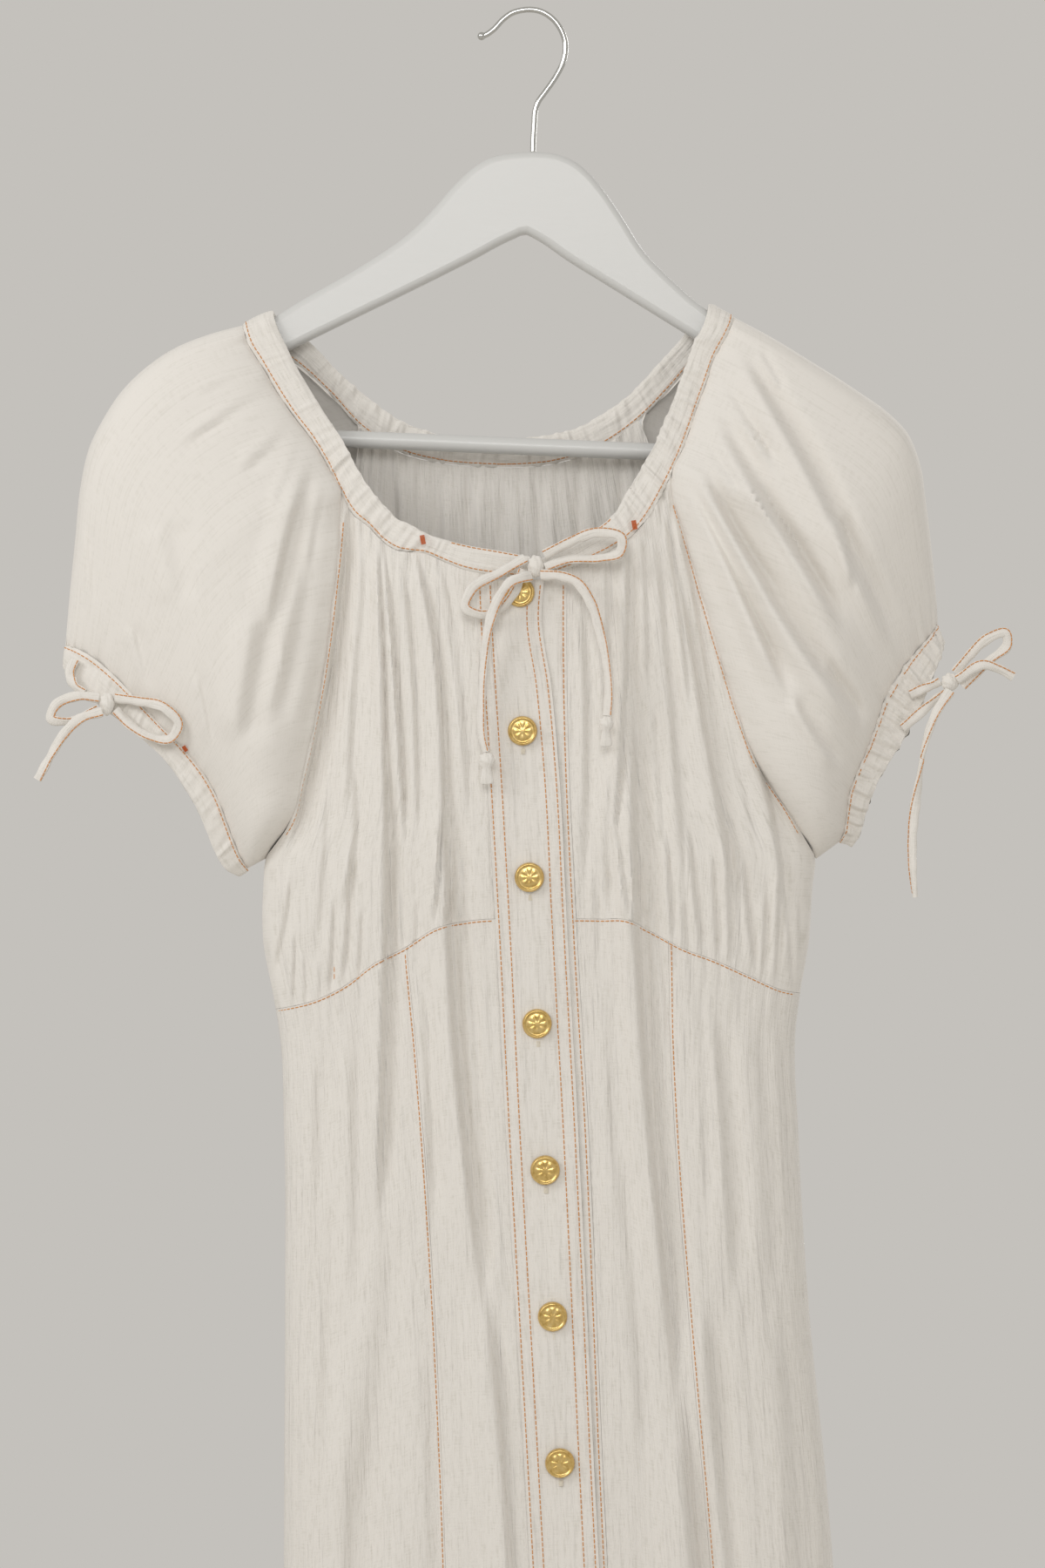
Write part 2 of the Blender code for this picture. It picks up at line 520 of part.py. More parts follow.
# Buttons: a domed disc with a raised rim, turned round its own axis.
BUTTON_PROFILE = [  # radius and height, as shares of the button's radius and thickness
    (0.0, 0.88), (0.42, 0.84), (0.74, 0.70), (0.84, 1.0), (0.96, 0.86), (1.0, 0.5), (0.86, 0.0),
    (0.0, 0.0),
]
BUTTON_SIDES = 12
for number, v in enumerate(BUTTON_V, start=1):
    u = float(BUTTON_U(v))
    reach = BUTTON_RADIUS / UNIT
    rim = [body_depth(np.array(u + du), np.array(v + dv), "front", BAND_LIFT)
           for du in (-reach, 0, reach) for dv in (-reach, 0, reach)]
    seat = float(np.min(rim)) - CLOTH / 2 - BUTTON_GAP
    mesh = bpy.data.meshes.new(f"button_{number:02d}")
    work = bmesh.new()
    points = [work.verts.new((r * BUTTON_RADIUS, 0, h * BUTTON_THICK)) for r, h in BUTTON_PROFILE]
    edges = [work.edges.new(pair) for pair in zip(points[:-1], points[1:])]
    bmesh.ops.spin(work, geom=points + edges, axis=(0, 0, 1), cent=(0, 0, 0),
                   angle=math.tau, steps=BUTTON_SIDES, use_merge=True)
    bmesh.ops.remove_doubles(work, verts=work.verts, dist=1e-6)
    bmesh.ops.recalc_face_normals(work, faces=work.faces)
    work.to_mesh(mesh)
    work.free()
    mesh.shade_smooth()
    button = keep(bpy.data.objects.new(f"button_{number:02d}", mesh), GOLD)
    button.rotation_euler = (math.radians(90), 0, 0)
    button.location = place(u, v, seat)

# Neck casing: a flat tube drawn round the neck, its gathers rising and falling along it.
TUBE_SIDES = 8
CASING_SHARE = 0.06  # a casing's tube starts this share of its width in from its seam


def flat_tube(name, seam, free, thick, sections, gathers, finish):
    """A flattened tube between two edges, each a list of points; its gathers swell along it."""
    share = np.linspace(0, 1, sections)
    a, b = along(seam)(share), along(free)(share)
    middle, wide = (a + b) / 2, (b - a) / 2
    run = np.gradient(middle, axis=0)
    thin = np.cross(run, wide)
    thin /= np.linalg.norm(thin, axis=1)[:, None]
    swell = 1 + gathers * np.cos(np.pi * np.arange(sections))
    turn = np.linspace(0, math.tau, TUBE_SIDES + 1)
    across_tube = np.sign(np.cos(turn)) * np.abs(np.cos(turn)) ** 0.8
    points = (
        middle[:, None] + wide[:, None] * across_tube[None, :, None]
        + thin[:, None] * (np.sin(turn)[None, :, None] * thick / 2 * swell[:, None, None])
    )
    return grid_object(name, points, finish, wrap=True, caps=True)


neck_rows = np.array(NECK, float)
neck_seam_points = place(neck_rows[:, 0], neck_rows[:, 1], neck_rows[:, 4] * 0.001)
neck_free_points = place(neck_rows[:, 2], neck_rows[:, 3], neck_rows[:, 4] * 0.001)
neck_seam_points += CASING_SHARE * (neck_free_points - neck_seam_points)
flat_tube("neck_casing", neck_seam_points, neck_free_points, NECK_TUBE, 77, 0.12, CASING)


# Sleeves: a puffed tube from the raglan seams and the neck to the cuff.
SLEEVE_AROUND, SLEEVE_ALONG = 28, 11  # faces round and along a sleeve
SLEEVE_NECK_EDGE, SLEEVE_EDGE = 0.0024, 0.0018  # the sleeve stays this far out from its seams


def sleeve_half(face, shoulder, corner, raglan, outer, cuff, outward):
    """Half a sleeve as a grid: rows from the body to the cuff, columns from the outer edge."""
    around = SLEEVE_AROUND // 2
    share = (1 - np.cos(np.linspace(0, np.pi, around + 1))) / 2
    step = 1 if corner > shoulder else -1
    neck = neck_rows[np.arange(shoulder, corner + step, step)]
    v = np.linspace(neck[-1, 1] + 12, UNDERARM_V, 9)
    u = raglan(v)
    body = np.column_stack([u, v, 1000 * body_depth(u, v, face)])
    ring = along(np.vstack([neck[:, [0, 1, 4]], body]))(share)
    run = np.gradient(ring[:, :2], axis=0)
    off = np.column_stack([run[:, 1], -run[:, 0]]) / np.hypot(run[:, 0], run[:, 1])[:, None]
    off *= np.sign(off[len(off) // 2, 0]) * outward
    at_neck = ring[:, 1] < neck[-1, 1] + 10
    ring[:, :2] += off * np.where(at_neck, SLEEVE_NECK_EDGE, SLEEVE_EDGE)[:, None] / UNIT
    sign = -1 if face == "front" else 1
    ring[-1, 2] = sign * 1000 * SEAM
    hem_line = along([row[:2] for row in cuff])(share)
    hem_depth = sign * CUFF_HALF_DEPTH * np.sin(np.pi * np.linspace(0, 1, around + 1)) ** 0.7
    out_line = along(outer)(np.linspace(0, 1, SLEEVE_ALONG + 1))
    arm_line = ring[-1, :2] + (hem_line[-1] - ring[-1, :2]) * np.linspace(
        0, 1, SLEEVE_ALONG + 1)[:, None]
    t = np.linspace(0, 1, SLEEVE_ALONG + 1)[:, None, None]
    s = share[None, :, None]
    # Coons patch: the four edges blended, less their corners.
    marks = (
        (1 - t) * ring[None, :, :2] + t * hem_line[None]
        + (1 - s) * out_line[:, None] + s * arm_line[:, None]
        - (1 - t) * ((1 - s) * ring[0, :2] + s * ring[-1, :2])
        - t * ((1 - s) * hem_line[0] + s * hem_line[-1])
    )
    bow = np.sin(np.pi * np.linspace(0, 1, around + 1))[None, :] ** 0.8
    t = t[..., 0]
    puff = (SLEEVE_FRONT if face == "front" else SLEEVE_BACK) * bow * np.sin(np.pi * t**0.8) ** 0.7
    depth = (1 - t) * ring[None, :, 2] * 0.001 + t * hem_depth[None]
    folds = fold_height(marks[..., 0], marks[..., 1], SLEEVE_FOLDS)
    folds = folds * ease(4 * bow) * ease(5 * t) * ease(5 * (1 - t))
    return place(marks[..., 0], marks[..., 1], depth + sign * (puff + folds))


for side, shoulder, front, back, raglans, outer, cuff, outward in (
    ("left", NECK_LEFT_SHOULDER, NECK_FRONT_LEFT, NECK_BACK_LEFT,
     (RAGLAN_FRONT_LEFT, RAGLAN_BACK_LEFT), OUTER_LEFT, CUFF_LEFT, -1),
    ("right", NECK_RIGHT_SHOULDER, NECK_FRONT_RIGHT, NECK_BACK_RIGHT,
     (RAGLAN_FRONT_RIGHT, RAGLAN_BACK_RIGHT), OUTER_RIGHT, CUFF_RIGHT, 1),
):
    front_half = sleeve_half("front", shoulder, front, raglans[0], outer, cuff, outward)
    back_half = sleeve_half("back", shoulder, back, raglans[1], outer, cuff, outward)
    front_half[:, -1, 1] = back_half[:, -1, 1] = 0.0
    points = np.concatenate([front_half, back_half[:, -2::-1]], axis=1)
    grid_object(f"sleeve_{side}", points, IVORY, wrap=True, wall=CLOTH)

    # Cuff: the gathered casing along the sleeve's end, a flat tube closed on itself.
    rows = np.array(cuff, float)
    share = np.linspace(0, 1, len(rows))
    deep = CUFF_HALF_DEPTH * np.sin(np.pi * share) ** 0.7
    loops = []
    for first in (0, 2):
        inward = 0.0 if first else CASING_SHARE
        marks = rows[:, first:first + 2] + inward * (rows[:, 2:4] - rows[:, 0:2])
        ahead = place(marks[:, 0], marks[:, 1], -deep)
        behind = place(marks[:, 0], marks[:, 1], deep)
        loops.append(np.vstack([ahead, behind[-2:0:-1]]))
    sections = 28
    ring_share = np.arange(sections) / sections
    closed = [along(np.vstack([loop, loop[:1]]))(ring_share) for loop in loops]
    middle, wide = (closed[0] + closed[1]) / 2, (closed[1] - closed[0]) / 2
    run = np.roll(middle, -1, axis=0) - np.roll(middle, 1, axis=0)
    thin = np.cross(run, wide)
    thin /= np.linalg.norm(thin, axis=1)[:, None]
    turn = np.linspace(0, math.tau, TUBE_SIDES + 1)
    swell = 1 + 0.12 * np.cos(np.pi * np.arange(sections))
    tube = (
        middle[:, None] + wide[:, None] * np.cos(turn)[None, :, None]
        + thin[:, None] * (np.sin(turn)[None, :, None] * CUFF_TUBE / 2 * swell[:, None, None])
    )
    tube = np.concatenate([tube, tube[:1]], axis=0)
    grid_object(f"cuff_{side}", tube, CASING, wrap=True)


# Ties and their knots.
def tube(name, points, radius, finish, resolution=2):
    """A round tube along points, with flat filled ends."""
    data = bpy.data.curves.new(name, "CURVE")
    data.dimensions = "3D"
    spline = data.splines.new("POLY")
    spline.points.add(len(points) - 1)
    for mark, point in zip(spline.points, points):
        mark.co = (*point, 1.0)
    data.bevel_depth = radius
    data.bevel_resolution = resolution
    data.use_fill_caps = True
    return keep(bpy.data.objects.new(name, data), finish)


for name, marks in TIES.items():
    marks = np.array(marks, float)
    points = place(marks[:, 0], marks[:, 1], 0.001 * marks[:, 2])
    length = np.linalg.norm(np.diff(points, axis=0), axis=1).sum()
    count = max(4, round(length / (2.4 * 2 * TIE_RADIUS)))
    tube(name, along(points)(np.linspace(0, 1, count + 1)), TIE_RADIUS, IVORY)
for name, (u, v, y, wide, deep, high) in KNOTS.items():
    work = bmesh.new()
    bmesh.ops.create_uvsphere(work, u_segments=10, v_segments=6, radius=1.0)
    mesh = bpy.data.meshes.new(name)
    work.to_mesh(mesh)
    work.free()
    mesh.transform(Matrix.Diagonal((0.001 * wide, 0.001 * deep, 0.001 * high, 1.0)))
    mesh.shade_smooth()
    knot = keep(bpy.data.objects.new(name, mesh), IVORY)
    knot.location = place(u, v, 0.001 * y)

# Hanger: a shaped board with rounded edges, a bar across its ends, and a wire hook.
board = bpy.data.curves.new("hanger_board", "CURVE")
board.dimensions = "2D"
board.fill_mode = "BOTH"
board.extrude = WOOD_HALF - WOOD_ROUND
board.bevel_depth = WOOD_ROUND
board.offset = -WOOD_ROUND
board.bevel_resolution = 1
spline = board.splines.new("POLY")
spline.points.add(len(WOOD) - 1)
for mark, (u, v) in zip(spline.points, WOOD):
    x, _, z = place(u, v, 0.0)
    mark.co = (x, z, 0.0, 1.0)
spline.use_cyclic_u = True
hanger = keep(bpy.data.objects.new("hanger_board", board), WHITE)
hanger.rotation_euler = (math.radians(90), 0, 0)

ends = [Vector(place(u, v, 0.0)) for u, v in (BAR_START, BAR_END)]
tube("hanger_bar", ends, BAR_RADIUS, WHITE, resolution=3)

hook = np.array(HOOK, float)
hook_points = place(hook[:, 0], hook[:, 1], 0.0)
tube("hanger_hook", along(hook_points)(np.linspace(0, 1, 28)), WIRE_RADIUS, CHROME)
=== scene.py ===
"""A midi dress of crinkled cotton gauze on a painted wooden hanger: the finished surfaces."""

import math

import bmesh
import bpy
import numpy as np
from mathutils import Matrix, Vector


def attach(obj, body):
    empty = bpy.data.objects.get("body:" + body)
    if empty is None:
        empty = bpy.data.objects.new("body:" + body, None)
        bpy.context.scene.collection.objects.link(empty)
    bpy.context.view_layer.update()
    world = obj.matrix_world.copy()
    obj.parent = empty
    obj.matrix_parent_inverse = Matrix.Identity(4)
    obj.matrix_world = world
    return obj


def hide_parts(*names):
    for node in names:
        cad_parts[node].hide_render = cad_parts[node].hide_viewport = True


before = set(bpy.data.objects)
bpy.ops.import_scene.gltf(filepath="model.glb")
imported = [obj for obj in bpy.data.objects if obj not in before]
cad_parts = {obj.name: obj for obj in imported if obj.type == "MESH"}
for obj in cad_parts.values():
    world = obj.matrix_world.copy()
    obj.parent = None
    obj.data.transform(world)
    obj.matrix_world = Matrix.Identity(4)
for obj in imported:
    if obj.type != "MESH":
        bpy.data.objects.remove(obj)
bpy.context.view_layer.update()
bpy.ops.object.select_all(action="DESELECT")

# Camera. It looks straight at the dress from 2.2 m, level with its bust, and takes in a piece
# 0.6 m wide from the hook to the lap.
EYE = (-0.006, -2.230, -0.4475)
camera = bpy.data.cameras.new("camera")
camera.sensor_width = 36.0
camera.lens = 88.0
viewer = bpy.data.objects.new("camera", camera)
viewer.location = EYE
viewer.rotation_euler = (math.radians(90), 0, 0)
bpy.context.scene.collection.objects.link(viewer)
bpy.context.scene.camera = viewer

# Ties. Narrow tubes of the dress's own gauze, folded and stitched along one edge, which run in
# the neck and cuff casings and are tied in bows. Their places are marks on a front-view
# drawing, u to the right and v down in half millimetres, with the depth in millimetres.
UNIT = 0.0005
EYE_U, EYE_V = 600.0, 900.0
DRAWING_Y = -0.030
TIE_WIDTH, TIE_THICK, TIE_STEP, TIE_SIDES = 0.0058, 0.0030, 0.0011, 12


def place(u, v, y):
    """The points in metres behind the drawing's marks u, v at the depths y."""
    reach = UNIT * (np.asarray(y) - EYE[1]) / (DRAWING_Y - EYE[1])
    u, v, y, reach = np.broadcast_arrays(u, v, y, reach)
    return np.stack([EYE[0] + (u - EYE_U) * reach, y, EYE[2] - (v - EYE_V) * reach], axis=-1)


def curve(rows):
    """A smooth curve through rows of (station, value, ...), as a function of the station."""
    rows = np.array(rows, dtype=float)
    x, values = rows[:, 0], rows[:, 1:]
    slope = np.gradient(values, x, axis=0)

    def at(station):
        station = np.clip(np.asarray(station, dtype=float), x[0], x[-1])
        i = np.clip(np.searchsorted(x, station, side="right") - 1, 0, len(x) - 2)
        gap = x[i + 1] - x[i]
        f = ((station - x[i]) / gap)[..., None]
        gap = gap[..., None]
        return (
            (2 * f**3 - 3 * f**2 + 1) * values[i]
            + (f**3 - 2 * f**2 + f) * gap * slope[i]
            + (3 * f**2 - 2 * f**3) * values[i + 1]
            + (f**3 - f**2) * gap * slope[i + 1]
        )

    return at


def line(rows):
    """The same for rows of (station, value) with one value."""
    smooth = curve(rows)
    return lambda station: smooth(station)[..., 0]


def along(points):
    """A smooth path through points, as a function of the share 0..1 of its length."""
    points = np.array(points, dtype=float)
    steps = np.linalg.norm(np.diff(points, axis=0), axis=1)
    station = np.concatenate([[0.0], np.cumsum(steps)]) / steps.sum()
    return curve(np.column_stack([station, points]))


def stations(points):
    """How far along a path each of its points lies."""
    steps = np.linalg.norm(np.diff(points, axis=0), axis=1)
    return np.concatenate([[0], np.cumsum(steps)])


def run_length(points):
    return float(np.linalg.norm(np.diff(points, axis=0), axis=1).sum())


def ease(x):
    x = np.clip(x, 0.0, 1.0)
    return x * x * (3 - 2 * x)


def linear(sheet_hex):
    """A colour given as an sRGB hex value, as the shader's linear red, green, blue, alpha."""
    parts = [int(sheet_hex[i:i + 2], 16) / 255 for i in (0, 2, 4)]
    return [x / 12.92 if x <= 0.04045 else ((x + 0.055) / 1.055) ** 2.4 for x in parts] + [1.0]


def node(material, kind, settings=(), links=()):
    """Adds a shader node, with its settings by name or socket, and links into its sockets."""
    tree = material.node_tree
    made = tree.nodes.new(kind)
    for name, value in dict(settings).items():
        if isinstance(name, str) and hasattr(made, name):
            setattr(made, name, value)
        else:
            made.inputs[name].default_value = value
    for name, source in dict(links).items():
        tree.links.new(source, made.inputs[name])
    return made


def ramp(material, source, stops):
    """A colour ramp over stops of (place, hex)."""
    made = node(material, "ShaderNodeValToRGB", links={"Fac": source})
    made.color_ramp.elements[0].position, made.color_ramp.elements[1].position = (
        stops[0][0], stops[-1][0])
    for place_at, _ in stops[1:-1]:
        made.color_ramp.elements.new(place_at)
    for element, (_, colour) in zip(made.color_ramp.elements, stops):
        element.color = linear(colour)
    return made


def surface(name, values):
    """A material and its Principled shader, whose sockets get the values."""
    made = bpy.data.materials.new(name)
    made.use_nodes = True
    shader = made.node_tree.nodes["Principled BSDF"]
    for socket, value in values.items():
        shader.inputs[socket].default_value = value
    return made, shader


def noise(material, vector, scale, **settings):
    """Noise over the coordinates, stretched by the scale."""
    stretched = node(material, "ShaderNodeMapping", {"Scale": scale}, {"Vector": vector})
    return node(material, "ShaderNodeTexNoise", {"Scale": 1.0, **settings},
                {"Vector": stretched.outputs["Vector"]}).outputs["Fac"]


def bump(material, height, strength, distance, normal=None):
    links = {"Height": height, "Normal": normal} if normal else {"Height": height}
    return node(material, "ShaderNodeBump", {"Strength": strength, "Distance": distance},
                links).outputs["Normal"]


GAUZE_LIGHT, WEAVE = "E6E2DC", 1000 / 0.9


def gauze(name, painted_shade="D8D4CC", crinkle_mm=1.6, relief=1.0, broad=1.0):
    """Crinkled cotton gauze: a loose plain weave, drawn 0.9 mm to the thread so that it shows
    (the real one is nearer 0.5 mm), over uneven lengthwise crinkles. Matt, with a soft nap. The
    colour is darker where the crinkles and the weave are low: painted shade in their hollows."""
    made, shader = surface(name, {"Roughness": 0.92, "Specular IOR Level": 0.18,
                                  "Sheen Weight": 0.25, "Sheen Roughness": 0.6})
    uv = node(made, "ShaderNodeUVMap").outputs["UV"]
    crinkle = noise(made, uv, (1000 / crinkle_mm, 60, 1), Detail=4.0, Roughness=0.6)
    wide = noise(made, uv, (160, 14, 1), Detail=3.0)
    warp = noise(made, uv, (WEAVE, 110, 1), Detail=1.0)
    weft = noise(made, uv, (150, WEAVE, 1), Detail=1.0)
    weave = node(made, "ShaderNodeMath", {"operation": "ADD"}, {0: warp, 1: weft}).outputs["Value"]
    # The tone mixes the weave and the crinkles, the same noise that makes the bumps. The ramp
    # darkens the colour where they are low, from the gauze's own colour down to painted shade.
    painted_shade_mask = node(made, "ShaderNodeMath", {"operation": "MULTIPLY_ADD", 1: 0.5},
                {0: weave, 2: crinkle})
    colour = ramp(made, painted_shade_mask.outputs["Value"], [(0.70, painted_shade), (1.0, GAUZE_LIGHT)])
    normal = bump(made, crinkle, 0.5 * relief, 0.0009)
    normal = bump(made, wide, 0.75 * broad, 0.0030, normal)
    normal = bump(made, weave, 0.25 * relief, 0.0004, normal)
    made.node_tree.links.new(colour.outputs["Color"], shader.inputs["Base Color"])
    made.node_tree.links.new(normal, shader.inputs["Normal"])
    return made


GAUZE = gauze("ivory_cotton_gauze")
TIE_GAUZE = gauze("folded_gauze_tube", crinkle_mm=1.2, relief=0.6)
SHARP = math.radians(84)


def cloth_grid(name, points, finish, wrap=False, caps=False, wall=0.0):
    """A cloth piece as a grid bent to the points, in metres across and along as its UV map."""
    rows, columns = points.shape[:2]
    bpy.ops.mesh.primitive_grid_add(x_subdivisions=columns - 1, y_subdivisions=rows - 1, size=1)
    made = bpy.context.object
    made.name = made.data.name = name
    mesh = made.data
    mesh.vertices.foreach_set("co", points.reshape(-1).astype(np.float32))
    across_at, along_at = np.meshgrid(stations(points[rows // 2]),
                                      stations(points[:, columns // 2]))
    corner = np.zeros(len(mesh.loops), dtype=np.int32)
    mesh.loops.foreach_get("vertex_index", corner)
    flat = np.column_stack([across_at.reshape(-1)[corner], along_at.reshape(-1)[corner]])
    if not mesh.uv_layers:
        mesh.uv_layers.new(name="cut")
    mesh.uv_layers[0].name = "cut"
    mesh.uv_layers[0].data.foreach_set("uv", flat.reshape(-1).astype(np.float32))
    work = bmesh.new()
    work.from_mesh(mesh)
    if wrap:
        bmesh.ops.remove_doubles(work, verts=work.verts, dist=1e-6)
    if caps:
        bmesh.ops.holes_fill(work, edges=work.edges)
    bmesh.ops.recalc_face_normals(work, faces=work.faces)
    work.to_mesh(mesh)
    work.free()
    mesh.materials.append(finish)
    if wall:
        shell = made.modifiers.new("wall", "SOLIDIFY")
        shell.thickness, shell.offset = wall, 0.0
        bpy.ops.object.modifier_apply(modifier=shell.name)
    mesh.shade_smooth()
    mesh.set_sharp_from_angle(angle=SHARP)
    made.select_set(False)
    return made


def settle(made, solid=None):
    """Puts a finished piece on the one body and in place of its solid."""
    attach(made, "root")
    if solid:
        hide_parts(solid)
    made.select_set(False)


def tie_rings(marks, twist):
    """A tie's path and its rings: flat to the viewer, softly creased, turned by `twist`."""
    marks = np.array(marks, float)
    route = place(marks[:, 0], marks[:, 1], 0.001 * marks[:, 2])
    count = int(run_length(route) / TIE_STEP)
    share = np.linspace(0, 1, count)
    path = along(route)(share)
    run = np.gradient(path, axis=0)
    run /= np.linalg.norm(run, axis=1)[:, None]
    wide = np.cross(run, (0, 1, 0))
    wide /= np.linalg.norm(wide, axis=1)[:, None]
    thin = np.cross(run, wide)
    angle = (twist * share + 0.25 * np.sin(9 * share + 3 * twist))[:, None]
    cos, sin = np.cos(angle), np.sin(angle)
    wide, thin = wide * cos + thin * sin, thin * cos - wide * sin
    swell = (1 + 0.07 * np.sin(37 * share * count / 60) + 0.05 * np.sin(23 * share + 1))[:, None]
    turn = np.linspace(0, math.tau, TIE_SIDES + 1)[None, :, None]
    rings = (path[:, None] + (wide * TIE_WIDTH / 2 * swell)[:, None] * np.cos(turn)
             + (thin * TIE_THICK / 2)[:, None] * np.sin(turn))
    return path, rings, wide, thin


TIES = {
    "neck_tie_loop_right": [
        (625, 637, -47), (650, 624, -49), (690, 611, -50), (714, 618, -51), (712, 634, -49),
        (690, 641, -46), (650, 643, -45.5), (625.6, 651, -46.5)],
    "neck_tie_loop_left": [
        (603, 641, -46.5), (575, 657, -49), (540, 679, -51), (534, 697, -51), (550, 705, -50),
        (574, 699, -49), (589, 682, -49), (600.5, 654, -47)],
    "neck_tie_tail_right": [
        (621.3, 659.8, -49.3), (644, 661, -53), (662, 668, -54), (677, 689, -54), (688, 722, -53),
        (697, 764, -53), (699, 800, -53), (697, 821.4, -53)],
    "neck_tie_tail_left": [
        (609, 661.5, -50.6), (600, 663, -54.5), (588, 667, -56.5), (572, 688, -55.5),
        (561, 720, -55), (556, 760, -52), (553, 810, -52), (554, 848, -52), (558, 863.2, -52)],
    "cuff_tie_left_lead": [
        (86, 757, -11.8), (80, 772, -13), (86, 787, -15.5), (97, 796, -17.6)],
    "cuff_tie_left_loop_outer": [
        (113.6, 801, -22), (90, 799, -23.5), (62, 812, -24), (58, 824, -24), (78, 828, -23.5),
        (113.6, 814, -22)],
    "cuff_tie_left_loop_inner": [
        (132.6, 801, -22), (160, 805, -26), (188, 812, -32), (205, 831, -31), (196, 848, -28),
        (170, 845, -25), (150, 833, -23), (132.4, 815, -22)],
    "cuff_tie_left_tail": [
        (117, 817, -27.4), (92, 825, -29.8), (74, 842, -29), (58, 868, -27), (43, 895, -26)],
    "cuff_tie_right_lead_upper": [
        (1045, 797, -21.4), (1062, 790, -21.8), (1079.6, 782, -22)],
    "cuff_tie_right_lead_lower": [
        (1036, 836, -23), (1055, 820, -22), (1072, 805, -20.5), (1086, 795.5, -19.5)],
    "cuff_tie_right_loop": [
        (1097, 772, -22), (1112, 754, -24), (1136, 732, -26), (1155, 727, -27), (1157, 739, -26),
        (1138, 757, -24), (1105, 788, -22)],
    "cuff_tie_right_tail_short": [
        (1099, 780, -26.9), (1130, 763, -30.5), (1148, 768, -30), (1164, 777, -30)],
    "cuff_tie_right_tail_long": [
        (1091, 793, -26.2), (1075, 818, -29), (1063, 851, -29), (1055, 897, -28),
        (1049, 942, -28), (1048, 988, -28), (1051, 1030, -28)],
}
TWISTS = {"cuff_tie_right_tail_long": 5.0, "neck_tie_tail_left": 0.9}
tie_edges = []
for name, marks in TIES.items():
    twist = TWISTS.get(name, 0.4)
    path, rings, wide, thin = tie_rings(marks, twist)
    made = cloth_grid(name + "_cloth", rings, TIE_GAUZE, wrap=True, caps=True)
    settle(made, name)
    # The stitches run on the side of the tie that is turned to the viewer.
    edge, off = path + wide * 0.40 * TIE_WIDTH, thin * 0.38 * TIE_THICK
    tie_edges.append(np.where(off[:, 1:2] < 0, edge + off, edge - off))

# Skirt. Four front panels and a back of gauze, cut straight and flared to the hem, joined to
# the bodice at the raised waist seam. BODY gives the dress's form level by level: v, left side
# u, middle u, right side u, and the depth of its front and back in millimetres.
CLOTH, SEAM = 0.0008, 0.00008
BODY = curve([
    (480, 356, 581, 790, -30, 15),
    (584, 352, 587, 816, -33, 17),
    (676, 349, 592, 840, -38, 20),
    (787, 343, 597, 868, -40, 22),
    (895, 330, 603, 896, -41, 24),
    (940, 322, 605, 917, -41, 25),
    (985, 306, 607, 935, -40, 25),
    (1020, 303, 609, 932, -39, 25),
    (1080, 303, 612, 928, -37, 24),
    (1140, 314, 615, 918, -36, 24),
    (1180, 321, 617, 913, -36, 24),
    (1300, 327, 624, 916, -38, 26),
    (1500, 328, 634, 928, -43, 29),
    (1700, 327, 644, 948, -47, 32),
    (2000, 326, 660, 970, -52, 36),
    (2300, 323, 675, 992, -56, 40),
    (2600, 320, 690, 1012, -60, 44),
])
ROUND_U, ROUND_Y, FRONT_GAIN = 0.85, 0.70, 1.35
BAND_GAP, UNDER_GAP = 0.006, 0.0075
HEM_Z = -1.290
BAND_LEFT = line([
    (600, 544), (700, 548), (900, 560), (1060, 569), (1300, 581), (1700, 603), (2600, 651),
])
BAND_RIGHT = line([
    (600, 626), (663, 625), (707, 622), (788, 633), (887, 642), (1060, 651), (1300, 664),
    (1700, 683), (2600, 730),
])
UNDER_RIGHT = line([
    (600, 652), (663, 651), (827, 652), (1060, 662), (1300, 676), (1700, 693), (2600, 740),
])
PRINCESS_LEFT = line([
    (1050, 466), (1090, 468), (1200, 478), (1300, 486), (1400, 493), (1600, 504), (2100, 520),
    (2600, 532),
])
PRINCESS_RIGHT = line([
    (1050, 767), (1090, 768), (1200, 770), (1300, 775), (1500, 790), (1750, 812), (2600, 880),
])
EMPIRE_FRONT = line([
    (300, 1160), (318, 1158), (370, 1145), (400, 1129), (427, 1108), (465, 1088), (500, 1066),
    (540, 1057), (610, 1055), (690, 1055), (720, 1056), (745, 1068), (785, 1089), (820, 1102),
    (860, 1120), (900, 1137), (930, 1141),
])
EMPIRE_BACK = line([(300, 1160), (460, 1150), (620, 1146), (780, 1146), (930, 1141)])

